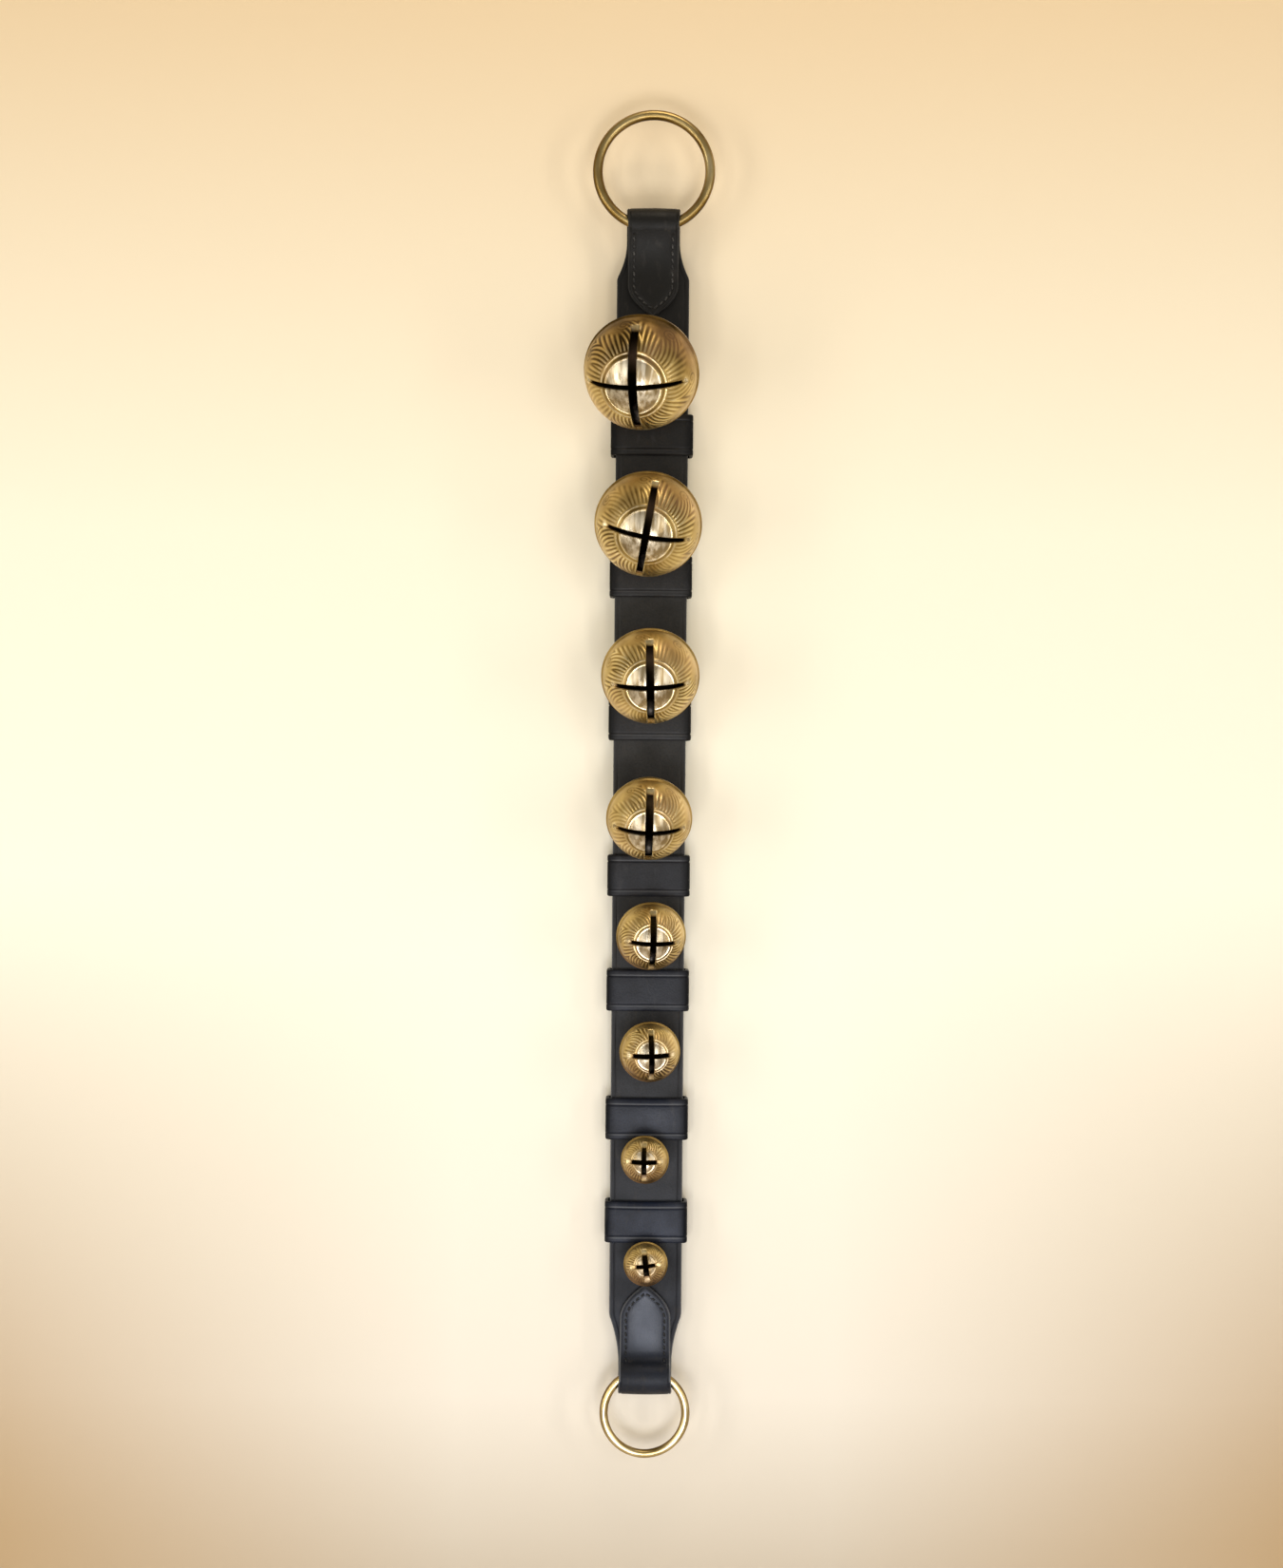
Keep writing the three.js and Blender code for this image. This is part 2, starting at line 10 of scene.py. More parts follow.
import bmesh
import bpy
import numpy as np
from mathutils import Matrix, Vector


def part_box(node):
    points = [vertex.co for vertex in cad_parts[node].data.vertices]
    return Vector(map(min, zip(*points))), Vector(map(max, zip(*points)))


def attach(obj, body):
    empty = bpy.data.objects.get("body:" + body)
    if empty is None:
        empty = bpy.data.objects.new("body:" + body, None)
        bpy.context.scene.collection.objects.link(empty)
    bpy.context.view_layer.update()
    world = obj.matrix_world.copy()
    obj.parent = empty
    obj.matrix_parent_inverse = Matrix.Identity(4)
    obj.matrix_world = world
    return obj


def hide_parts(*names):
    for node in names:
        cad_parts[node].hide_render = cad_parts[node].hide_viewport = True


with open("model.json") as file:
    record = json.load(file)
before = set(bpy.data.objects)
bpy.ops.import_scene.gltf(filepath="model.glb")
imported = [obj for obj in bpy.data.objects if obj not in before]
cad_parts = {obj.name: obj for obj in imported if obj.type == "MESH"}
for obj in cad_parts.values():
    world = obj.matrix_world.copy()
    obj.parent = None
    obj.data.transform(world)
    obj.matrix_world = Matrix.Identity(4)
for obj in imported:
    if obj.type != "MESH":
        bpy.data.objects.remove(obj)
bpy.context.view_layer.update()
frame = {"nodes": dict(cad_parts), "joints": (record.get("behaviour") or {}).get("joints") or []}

MM = 0.001
DEGREE = math.pi / 180

# Driving dimensions: leather
CLEARANCE = 0.3 * MM
STRAP_WIDTH = 38.1 * MM
STRAP_THICKNESS = 3 * MM
FOLD_WIDTH = 28 * MM
TONGUE_TRIM = 0.7 * MM  # how much narrower than the fold the tongue is, at each side
TOP_WRAP = 38 * DEGREE  # how far the folds go on round the rings past their fronts
BOTTOM_WRAP = 73 * DEGREE
EDGE_ROUND = 1 * MM  # radius of the leather's burnished edges
EDGE_THINNING = 0.35 * MM  # how much lower each face lies along the edges than in the middle
EDGE_HIGHLIGHT = 0.9 * MM  # width of the strip along the edges that is painted lighter, as a painted highlight
EDGE_HIGHLIGHT_FULL = 0.3  # share of that width that gets the full painted highlight
EDGE_ZONE = 5 * MM  # width of the finely divided strip along each edge
EDGE_SHARE = 0.8  # the most of a narrow strip's half width that it takes
STRAP_CREASE = 2.5 * MM  # from the edge to the tooled line
TONGUE_CREASE = 1.35 * MM
CREASE_DEPTH = 0.24 * MM
CREASE_WIDTH = 0.32 * MM
TONGUE_CROWN = 0.7 * MM  # how far the middle of a tongue stands up
LINER_CREASE = 3 * MM
SHEEN_ACROSS = (0.3, 1.6)  # where a tongue's polish and painted sheen fade, as shares of the way out to its stitches
SHEEN_ALONG = (0.5, 1.3)  # where they start and are full, as shares of the way from the fold to the bend's end
SHEEN_NARROW = 2 * MM  # half width inside the stitches below which they fade, at the tip

# Driving dimensions: stitching
STITCH_INSET = 3.2 * MM
STITCH_START = 6.5 * MM  # from the middle of the fold
STITCH_PITCH = 3.4 * MM
STITCH_LENGTH = 2.7 * MM
STITCH_RADIUS = 0.46 * MM
STITCH_TILT = 13 * DEGREE
STITCH_GROOVE = 0.32 * MM
STITCH_GROOVE_WIDTH = 0.75 * MM
STITCH_ROWS = 11
STITCH_SIDES = 8
STITCH_POINT = 0.96  # how far a stitch thins at its ends
STITCH_HUMP = 0.6  # how far its middle stands up, in radii of the thread
STITCH_DIP = 1.3  # how far its ends dip from there, in radii too

# Driving dimensions: keepers
KEEPER_WALL = 2.4 * MM
KEEPER_CORNER = 2.6 * MM
KEEPER_CREASE = 3.4 * MM
KEEPER_CREASE_DEPTH = 0.34 * MM
KEEPER_HIGHLIGHT = 2.8 * MM  # from the edge to the middle of the strip painted lighter, as a painted highlight
KEEPER_HIGHLIGHT_WIDTH = 0.4 * MM
KEEPER_SIDE_SHADE = 6 * MM  # width of the strip at each side that is painted darker, as painted shade where the front turns round
KEEPER_CROWN = 0.4 * MM  # how far the middle of a front stands out
KEEPER_BOW = [0.0, 0.0, 0.1, 0.1, 0.2, 1.0, 1.2]  # mm that each front stands out in its upper half
KEEPER_ROWS = 8  # of points along the middle of a front, and along the inside
SEAM_STITCHES = 5
SEAM_SPREAD = 0.7  # share of a keeper's height that the stitches take
SEAM_SINK = 0.25 * MM
SEAM_DEPTH = 0.5 * MM  # of the gap where the two ends of the leather meet
SEAM_WIDTH = 0.4 * MM
SEAM_CROWDING = 1.8  # power that crowds the columns of points next to it

# Driving dimensions: bells
BELL_WALL = 2 * MM
BELL_STEP = 0.2 * MM  # between rows of points on a ball, and how much it grows with the ball's radius
BELL_STEP_GROWTH = 0.007
RIM_PROUD = 0.8 * MM
RIM_WIDTH = 1.8 * MM
PIN_DIAMETER = 2.4 * MM
PIN_LENGTH = 22 * MM
EYE_WALL = 1 * MM
NECK_FILLET = 0.8 * MM
NECK_STRETCH = 1.6  # how much longer than high the fillet is
NECK_ROWS = 8
SLOT_RUN_OUT = 3.6 * MM  # length of the ramp at each end of a sawn slot, along the ball
SLOT_CHAMFER = 0.35 * MM
SLOT_DEPTH = 1.7 * BELL_WALL  # how deep the saw goes, to be well through the wall
SLOT_CLEAR = 1 * MM  # how far the cutter stands above the ornament
SLOT_SLIVER = 0.01 * MM  # least height of the cutter's sides
RAMP_MIDDLE = 0.6  # share of the ramp's length to the middle of its painted highlight
TALL_TAPER = 0.12  # how much narrower a slot is at its ends, as a share of its width
CROSS_TAPER = 0.5
CAP_ANGLE = 29.5 * DEGREE  # from the middle of the front to the inner of the two lines round the cap
CAP_EDGE = 1.5 * DEGREE
CAP_FADE = 0.35  # how much less silvery the cap is at its edge
CAP_LINE_STEP = 5.3 * DEGREE
ORNAMENT_START = 37 * DEGREE
ORNAMENT_END = 80 * DEGREE

# Each bell from the top down: width in mm and reach in degrees of the tall slot and of the cross slot,
# turn of the slots clockwise from the front in degrees, leaves round the front, depth of the ornament
# in mm, how silvery the cap is, and how much darker its upper side is painted as painted shade, or below 0
# its lower side
BELL_ROWS = [
    (4.4, 62, 2.5, 56, -2.7, 7, 0.32, 1.00, 0.36),
    (3.5, 62, 2.5, 49, 9.4, 7, 0.22, 1.00, 0.15),
    (3.9, 56, 2.5, 47, -1.5, 7, 0.30, 1.00, 0.04),
    (3.9, 58, 2.3, 50, 1.0, 6, 0.26, 1.00, -0.10),
    (3.1, 54, 2.3, 43, 1.5, 6, 0.34, 1.00, -0.34),
    (2.7, 47, 2.6, 43, -1.3, 5, 0.32, 1.00, -0.36),
    (2.5, 42, 2.4, 39, 0.0, 5, 0.22, 0.80, -0.32),
    (2.8, 34, 2.0, 31, -6.5, 5, 0.20, 0.60, -0.48),
]

# How bright the rings are rubbed; the bottom ring's greater brightness is partly a painted reflection
TOP_RING_POLISH_AND_SHEEN = 0.64
BOTTOM_RING_POLISH_AND_SHEEN = 0.86

# Places from the frame
JOINTS = {joint["name"]: joint for joint in frame["joints"]}


def joint_place(name):
    return Vector(JOINTS[name]["pos_m"])


STRAP_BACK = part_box("main_strap")[1].y
STRAP_FRONT = STRAP_BACK - STRAP_THICKNESS
STRAP_MIDDLE = (STRAP_FRONT + STRAP_BACK) / 2
TONGUE_MIDDLE = STRAP_FRONT - CLEARANCE - STRAP_THICKNESS / 2


def strap_end(joint, wrap, neck, shoulder, tongue, point, side):
    """One folded end of the strap. side is 1 at the top and -1 at the bottom."""
    fold = joint_place(joint)
    radius = STRAP_FRONT - fold.y
    half = STRAP_THICKNESS / 2
    leave_y = fold.y - (radius + half) * math.cos(wrap)
    leave_z = -(radius + half) * math.sin(wrap)
    bend = (TONGUE_MIDDLE - leave_y) / (1 - math.cos(wrap))
    return SimpleNamespace(
        fold=fold, radius=radius, wrap=wrap, leave_z=leave_z,
        bend=bend, bend_y=TONGUE_MIDDLE - bend, bend_z=leave_z - bend * math.sin(wrap),
        neck=neck, shoulder=shoulder, tongue=tongue, point=point, side=side,
    )


TOP = strap_end("strap_swing", TOP_WRAP, 8.3 * MM, 19 * MM, 48.4 * MM, 17 * MM, 1)
BOTTOM = strap_end("bottom_ring_swing", BOTTOM_WRAP, 4.9 * MM, 26 * MM, 48 * MM, 18 * MM, -1)


def sawn_slot(width, reach, turn, taper):
    return SimpleNamespace(width=width * MM, reach=reach * DEGREE, turn=turn * DEGREE, taper=taper)


def bell_facts(number):
    """Sizes and attitude of one bell, from its pin, its ball's middle and its row."""
    tall, tall_reach, cross, cross_reach, turn, leaves, relief, silver, side_shade = BELL_ROWS[number - 1]
    pin = joint_place(f"bell_{number}_nod")
    middle = joint_place(f"pellet_{number}_roll")
    forward = (middle - pin).normalized()
    lean = math.asin(forward.x)
    ball = STRAP_FRONT - CLEARANCE - middle.y
    shank = (PIN_DIAMETER / 2 + CLEARANCE + EYE_WALL) / (1 - math.tan(abs(lean)))
    return SimpleNamespace(
        number=number, pin=pin, middle=middle, ball=ball,
        arm=(middle - pin).length, lean=lean, droop=math.atan2(-forward.z, -forward.y),
        lift=math.radians(JOINTS[f"bell_{number}_nod"]["range_deg"][1]),
        shank=shank, eye=shank - EYE_WALL, turn=turn * DEGREE,
        slots=[
            sawn_slot(tall, tall_reach, turn, TALL_TAPER),
            sawn_slot(cross, cross_reach, turn + 90, CROSS_TAPER),
        ],
        leaves=leaves, relief=relief * MM, silver=silver, side_shade=side_shade,
    )


BELLS = [bell_facts(number) for number in range(1, len(BELL_ROWS) + 1)]
KEEPERS = range(1, len(BELL_ROWS))


# Meshes
SHARP_FROM = 40 * DEGREE  # edges that turn by more than this stay sharp
POLE_GAP = 0.02  # radians left open at a sphere's poles, which a small flat face closes


def whole_turn(count):
    return np.linspace(0, 2 * math.pi, count, endpoint=False)


def rows_of(*columns):
    """Columns side by side, as rows. A single value fills its column."""
    return np.stack(np.broadcast_arrays(*columns), axis=-1)


def add_object(name, data):
    thing = bpy.data.objects.new(name, data)
    bpy.context.scene.collection.objects.link(thing)
    return thing


def new_piece(name, points, faces):
    """An object with a closed mesh whose faces point out."""
    mesh = bpy.data.meshes.new(name)
    mesh.from_pydata(np.asarray(points, float).tolist(), [], faces)
    shape = bmesh.new()
    shape.from_mesh(mesh)
    bmesh.ops.recalc_face_normals(shape, faces=shape.faces)
    shape.to_mesh(mesh)
    shape.free()
    return add_object(name, mesh)


def loft_faces(rows, around, ends="capped"):
    """Quads between rows of points that close on themselves. ends is capped or joined."""
    index = np.arange(rows * around).reshape(rows, around)
    if ends == "joined":
        index = np.vstack([index, index[:1]])
    ahead = np.roll(index, -1, axis=1)
    quads = np.stack([index[:-1], ahead[:-1], ahead[1:], index[1:]], axis=-1)
    faces = quads.reshape(-1, 4).tolist()
    if ends == "capped":
        faces.append(index[0].tolist())
        faces.append(index[-1].tolist())
    return faces


def loft(name, sections, ends="capped"):
    sections = np.asarray(sections, float)
    rows, around = sections.shape[:2]
    return new_piece(name, sections.reshape(-1, 3), loft_faces(rows, around, ends))


def cut_away(piece, cutters):
    """Cuts the cutters out of the piece and removes them."""
    for cutter in cutters:
        cut = piece.modifiers.new("cut", "BOOLEAN")
        cut.operation = "DIFFERENCE"
        cut.solver = "MANIFOLD"
        cut.object = cutter
    depsgraph = bpy.context.evaluated_depsgraph_get()
    whole = piece.data
    piece.data = bpy.data.meshes.new_from_object(piece.evaluated_get(depsgraph))
    piece.data.name = piece.name
    piece.modifiers.clear()
    bpy.data.meshes.remove(whole)
    for cutter in cutters:
        shape = cutter.data
        bpy.data.objects.remove(cutter)
        bpy.data.meshes.remove(shape)


def smooth(piece):
    piece.data.shade_smooth()
    piece.data.set_sharp_from_angle(angle=SHARP_FROM)


def paint(piece, material):
    piece.data.materials.clear()
    piece.data.materials.append(material)


def finish_piece(piece, material, body, slot, *nodes):
    """Gives a piece its material and says where it belongs."""
    paint(piece, material)
    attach(piece, body)
    if nodes:
        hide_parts(*nodes)


def set_attribute(piece, name, values):
    attribute = piece.data.attributes.new(name, "FLOAT", "POINT")
    attribute.data.foreach_set("value", np.asarray(values, np.float32))


def mesh_points(piece):
    points = np.zeros(len(piece.data.vertices) * 3)
    piece.data.vertices.foreach_get("co", points)
    return points.reshape(-1, 3)


def smooth_step(low, high, value):
    share = np.clip((value - low) / (high - low), 0, 1)
    return share * share * (3 - 2 * share)


def ridge(distance, width):
    """A rounded line: 1 in its middle, falling to nothing over its width."""
    return np.exp(-(distance / width) ** 2)


def rod(name, start, end, radius):
    """A plain closed cylinder, for cutting."""
    start = Vector(start)
    axis = (Vector(end) - start).normalized()
    across = axis.orthogonal().normalized()
    other = axis.cross(across)
    circle = [across * math.cos(a) * radius + other * math.sin(a) * radius for a in whole_turn(32)]
    return loft(name, [[start + p for p in circle], [Vector(end) + p for p in circle]])


def sphere_sections(radius, rows, around):
    """Rings of points over a sphere about the origin, from its front to its back along Y."""
    angles = np.linspace(POLE_GAP, math.pi - POLE_GAP, rows)[:, None]
    turns = whole_turn(around)[None, :]
    outward = radius * np.sin(angles)
    return rows_of(outward * np.cos(turns), -radius * np.cos(angles), outward * np.sin(turns))


# Leather strips: burnished edges, tooled lines and grooves for the thread
FINE_STEP = 0.5 * MM  # between rows of points on the folded ends
LONG_STEP = 2 * MM  # between rows along the straight strap
MIDDLE_COLUMNS = 26
TIP_GAP = 0.02 * MM  # from a tongue's tip to its first row of points
FOLD_WIDENING = 0.6  # share of a fold's turn over which it gets wider than the tongue
LINER_END_ROWS = np.array([0, 0.15, 0.4, 0.8]) * MM
LINE_STEPS = 80  # along each part of a line of stitches
EDGE_SPACING = np.array([
    0, 0.1, 0.25, 0.45, 0.7, 0.95, 1.15, 1.35, 1.55, 1.8, 2.1, 2.3, 2.5, 2.7, 2.95, 3.3, 3.8, 4.4, 5,
]) * MM


def strip_columns(half_width):
    """Places across a strip, with more of them along its edges."""
    squeeze = min(1, EDGE_SHARE * half_width / EDGE_ZONE)
    left = EDGE_SPACING * squeeze - half_width
    right = -left[::-1]
    middle = np.linspace(left[-1], right[0], MIDDLE_COLUMNS + 2)[1:-1]
    return np.concatenate([left, middle, right])


def rounded_off(distance):
    """How far a burnished edge has fallen away at a distance from the edge."""
    inward = np.clip(EDGE_ROUND - distance, 0, EDGE_ROUND)
    return EDGE_ROUND - np.sqrt(EDGE_ROUND ** 2 - inward ** 2)


def strip_section(place, normal, half_width, half_depth, crease, raised=0):
    """Points round a strip's cross-section. place and normal are (y, z), and raised lifts one face."""
    x = strip_columns(half_width)
    distance = half_width - np.abs(x)
    depth = half_depth - rounded_off(distance) - EDGE_THINNING * (x / half_width) ** 2
    depth -= CREASE_DEPTH * ridge(distance - crease, CREASE_WIDTH)
    face = depth + raised
    outer = rows_of(x, place[0] + normal[0] * face, place[1] + normal[1] * face)
    inner = rows_of(x, place[0] - normal[0] * depth, place[1] - normal[1] * depth)
    return np.concatenate([outer, inner[::-1]])


def arc(middle_y, middle_z, radius, start, end):
    steps = math.ceil(abs(end - start) * radius / FINE_STEP)
    angles = np.linspace(start, end, steps + 1)
    return rows_of(middle_y + radius * np.cos(angles), middle_z + radius * np.sin(angles))


def from_fold(end, height):
    """A height in the frame, as a height from the middle of an end's fold, below 0 along its tongue."""
    return end.side * (height - end.fold.z)


def tongue_half(end, height):
    """Half the tongue's width at a height from the middle of its fold."""
    share = np.clip((end.tongue - end.point + height) / -end.point, 0, 1)
    return (FOLD_WIDTH / 2 - TONGUE_TRIM) * (1 - share ** 2)


def strap_half(height):
    """Half the strap's width at a height in the frame."""
    from_top = np.clip((TOP.fold.z - TOP.neck - height) / TOP.shoulder, 0, 1)
    from_bottom = np.clip((height - BOTTOM.fold.z - BOTTOM.neck) / BOTTOM.shoulder, 0, 1)
    share = np.minimum(from_top, from_bottom)
    return FOLD_WIDTH / 2 + (STRAP_WIDTH - FOLD_WIDTH) / 2 * share ** 2


def stitch_line(end):
    """(x, height) along the stitches, down one side of the tongue, round its tip and up the other."""
    edge = FOLD_WIDTH / 2 - TONGUE_TRIM
    half = edge - STITCH_INSET
    straight_end = end.point - end.tongue
    straight = np.linspace(-STITCH_START, straight_end, LINE_STEPS)
    share = np.linspace(0, 1, LINE_STEPS)[1:]
    right = np.vstack([
        rows_of(half, straight),
        rows_of(half * (1 - share ** 2), straight_end - end.point * half / edge * share),
    ])
    left = right[-2::-1] * np.array([-1, 1])
    return np.vstack([right, left])


def tongue_surface(end, height):
    """The y of the tongue's middle layer at a height from the fold, and its turn from upright there."""
    turn = np.arcsin(np.clip((height - end.bend_z) / end.bend, 0, math.sin(end.wrap)))
    return end.bend_y + end.bend * np.cos(turn), turn


def tongue_crown(end, x, height, half_width):
    """How far the tongue's face stands up across its width. The fold itself is flat across."""
    flattened = np.clip((end.leave_z - height) / (end.leave_z - end.bend_z), 0, 1)
    return TONGUE_CROWN * flattened * (1 - (x / half_width) ** 2)


def tongue_raised(end, x, height, half_width, line):
    """How far the tongue's face stands above flat: its crown, less the groove that holds the thread."""
    apart = np.min(np.hypot(line[:, 0][None, :] - x[:, None], line[:, 1][None, :] - height), axis=1)
    return tongue_crown(end, x, height, half_width) - STITCH_GROOVE * ridge(apart, STITCH_GROOVE_WIDTH)


def end_rows(end):
    """Rows (y, height from the fold, half width) of an end, from the tongue's tip to the strap's back."""
    count = math.ceil((end.tongue + end.bend_z) / FINE_STEP)
    heights = np.linspace(-end.tongue + TIP_GAP, end.bend_z, count, endpoint=False)
    tongue = rows_of(TONGUE_MIDDLE, heights, tongue_half(end, heights))
    bend = arc(end.bend_y, end.bend_z, end.bend, 0, end.wrap)
    fold = arc(end.fold.y, 0, end.radius + STRAP_THICKNESS / 2, math.pi + end.wrap, 0)
    wider = smooth_step(0, FOLD_WIDENING, np.linspace(0, 1, len(fold)))
    widening = np.concatenate([np.zeros(len(bend)), wider])
    half = FOLD_WIDTH / 2 - TONGUE_TRIM * (1 - widening)
    turned = np.column_stack([np.vstack([bend, fold]), half])
    return np.vstack([tongue, turned]), count + len(bend), len(fold)


def strap_sections():
    top, top_tongue, top_fold = end_rows(TOP)
    bottom, bottom_tongue, bottom_fold = end_rows(BOTTOM)
    top[:, 1] = TOP.fold.z + top[:, 1]
    bottom[:, 1] = BOTTOM.fold.z - bottom[:, 1]
    count = math.ceil((TOP.fold.z - BOTTOM.fold.z) / LONG_STEP)
    heights = np.linspace(TOP.fold.z, BOTTOM.fold.z, count + 1)[1:-1]
    straight = rows_of(STRAP_MIDDLE, heights, strap_half(heights))
    rows = np.vstack([top, straight, bottom[::-1]])
    along = np.gradient(rows[:, :2], axis=0)
    along /= np.linalg.norm(along, axis=1)[:, None]
    normals = rows_of(-along[:, 1], along[:, 0])
    lines = {1: stitch_line(TOP), -1: stitch_line(BOTTOM)}
    sections = []
    for index, (y, z, half_width) in enumerate(rows):
        from_end = len(rows) - 1 - index
        end = TOP if index < top_tongue else BOTTOM
        raised = 0
        if index < top_tongue or from_end < bottom_tongue:
            height = from_fold(end, z)
            raised = tongue_raised(end, strip_columns(half_width), height, half_width, lines[end.side])
        folded = index < top_tongue + top_fold or from_end < bottom_tongue + bottom_fold
        crease = TONGUE_CREASE if folded else STRAP_CREASE
        half_depth = STRAP_THICKNESS / 2
        sections.append(strip_section((y, z), normals[index], half_width, half_depth, crease, raised))
    return sections


def shank_slot(bell, near, far):
    """A cutter for the way through the leather that a bell's shank needs as it nods."""
    reach = bell.pin.y - STRAP_FRONT
    raised = bell.droop - bell.lift
    low = min(0, -reach * math.tan(bell.droop)) - bell.shank / math.cos(bell.droop)
    high = max(0, -reach * math.tan(raised)) + bell.shank / math.cos(raised)
    half = bell.shank + reach * math.tan(abs(bell.lean)) + 2 * CLEARANCE
    bottom = min(low - 2 * CLEARANCE + half, 0)
    top = max(high + 2 * CLEARANCE - half, 0)
    angles = whole_turn(48)
    x = half * np.cos(angles)
    z = bell.pin.z + np.where(angles < math.pi, top, bottom) + half * np.sin(angles)
    return loft("shank_slot", [rows_of(x, y, z) for y in (near, far)])


def pin_room(bell):
    reach = Vector((PIN_LENGTH / 2 + CLEARANCE, 0, 0))
    return rod("pin_room", bell.pin - reach, bell.pin + reach, PIN_DIAMETER / 2 + CLEARANCE)


def shank_end_room(bell):
    room = loft("shank_end_room", sphere_sections(bell.shank + CLEARANCE, 20, 32))
    room.data.transform(Matrix.Translation(bell.pin))
    return room


def on_tongue(end, points):
    height = from_fold(end, points[:, 2])
    return (points[:, 1] < STRAP_FRONT - CLEARANCE / 2) & (height > -end.tongue) & (height < 0)


def edge_highlight(points):
    """1 along the edges of the strap and of its tongues, where they are painted lighter as a painted
    highlight, falling to nothing over the width of that strip.
    """
    half = strap_half(points[:, 2])
    for end in (TOP, BOTTOM):
        tongue = tongue_half(end, from_fold(end, points[:, 2]))
        half = np.where(on_tongue(end, points), tongue, half)
    return 1 - smooth_step(EDGE_HIGHLIGHT_FULL * EDGE_HIGHLIGHT, EDGE_HIGHLIGHT, half - np.abs(points[:, 0]))


def tongue_polish_and_sheen(end, points):
    """How polished a tongue is, and how much painted bluish sheen it gets: most in its middle, and nothing at
    its stitches and its fold.
    """
    height = from_fold(end, points[:, 2])
    inside = tongue_half(end, height) - STITCH_INSET
    across = 1 - smooth_step(*SHEEN_ACROSS, np.abs(points[:, 0]) / np.maximum(inside, MM))
    start, full = np.multiply(SHEEN_ALONG, end.bend_z)
    along = smooth_step(start, full, height) * smooth_step(0, SHEEN_NARROW, inside)
    return on_tongue(end, points) * across * along


def make_strap(material):
    strap = loft("strap_leather", strap_sections())
    past = STRAP_THICKNESS
    cutters = [shank_slot(bell, STRAP_FRONT - past, STRAP_BACK + past) for bell in BELLS]
    cutters += [pin_room(bell) for bell in BELLS]
    cut_away(strap, cutters)
    smooth(strap)
    points = mesh_points(strap)
    set_attribute(strap, "edge", edge_highlight(points))
    set_attribute(strap, "polish_and_sheen", tongue_polish_and_sheen(BOTTOM, points))
    finish_piece(strap, material, "strap", "strap_leather", "main_strap")


def make_liner(material):
    low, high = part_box("back_liner")
    middle = (low.y + high.y) / 2
    steps = math.ceil((high.z - low.z) / LONG_STEP)
    inner = np.linspace(high.z, low.z, steps)[1:-1]
    heights = np.concatenate([high.z - LINER_END_ROWS, inner, low.z + LINER_END_ROWS[::-1]])
    sections = []
    for z in heights:
        fall = float(rounded_off(min(high.z - z, z - low.z)))
        half_depth = (high.y - low.y) / 2 - fall
        sections.append(strip_section((middle, z), (1, 0), high.x - fall, half_depth, LINER_CREASE))
    liner = loft("liner_leather", sections)
    cutters = []
    for bell in BELLS:
        low_side = bell.pin.y + bell.shank * math.sin(abs(bell.droop)) + CLEARANCE
        cutters.append(shank_slot(bell, STRAP_BACK - STRAP_THICKNESS, low_side))
        cutters.append(shank_end_room(bell))
        cutters.append(pin_room(bell))
    cut_away(liner, cutters)
    smooth(liner)
    finish_piece(liner, material, "strap", "liner_leather", "back_liner")


# Stitches
def stitches(name, places):
    """Short humped stitches. places holds (middle, direction along, direction out of the leather)."""
    angles = whole_turn(STITCH_SIDES)
    points = []
    faces = []
    for middle, along, out in places:
        aside = along.cross(out)
        faces += [[index + len(points) for index in face] for face in loft_faces(STITCH_ROWS, STITCH_SIDES)]
        for share in np.linspace(-1, 1, STITCH_ROWS):
            radius = STITCH_RADIUS * math.sqrt(1 - STITCH_POINT * share ** 6)
            rise = STITCH_RADIUS * (STITCH_HUMP - STITCH_DIP * share ** 2)
            place = middle + along * (STITCH_LENGTH / 2 * share) + out * rise
            points += [place + (aside * math.cos(a) + out * math.sin(a)) * radius for a in angles]
    piece = new_piece(name, points, faces)
    smooth(piece)
    return piece


def make_tongue_stitching(end, name, material, node):
    line = stitch_line(end)
    run = np.concatenate([[0], np.cumsum(np.hypot(*np.diff(line, axis=0).T))])
    count = math.floor(run[-1] / STITCH_PITCH)

    def line_place(distance):
        return [float(np.interp(distance, run, line[:, axis])) for axis in (0, 1)]

    places = []
    for distance in (np.arange(count) + 0.5) * run[-1] / count:
        x, height = line_place(distance)
        before = line_place(distance - MM)
        after = line_place(distance + MM)
        y, turn = tongue_surface(end, height)
        out = Vector((0, -math.cos(turn), -end.side * math.sin(turn)))
        climb = after[1] - before[1]
        along = Vector((after[0] - before[0], -math.tan(turn) * climb, end.side * climb)).normalized()
        along.rotate(Matrix.Rotation(STITCH_TILT, 3, out))
        half = float(tongue_half(end, height))
        thinner = EDGE_THINNING * (x / half) ** 2
        stands = STRAP_THICKNESS / 2 + tongue_crown(end, x, height, half) - thinner - STITCH_GROOVE
        places.append((Vector((x, y, end.fold.z + end.side * height)) + out * stands, along, out))
    finish_piece(stitches(name, places), material, "strap", "thread", node)


# Keepers: sleeves with rounded folds at the sides, tooled lines and a stitched seam at the back
KEEPER_EDGE_SPACING = np.array([
    0, 0.1, 0.25, 0.45, 0.7, 1.0, 1.4, 1.9, 2.3, 2.6, 2.8, 3.0, 3.2, 3.4, 3.6, 3.8, 4.1, 4.6, 5.5,
]) * MM


def corner(x, y, start):
    """Points and normals of a quarter turn clockwise, seen from above."""
    angles = start - np.linspace(0, math.pi / 2, 9)[1:-1]
    normals = rows_of(np.cos(angles), np.sin(angles))
    return np.array([x, y]) + KEEPER_CORNER * normals, normals


def straight_run(start, end, normal, shares):
    points = np.array(start) + np.outer(shares, np.subtract(end, start))
    return points, np.tile(np.array(normal, float), (len(shares), 1))


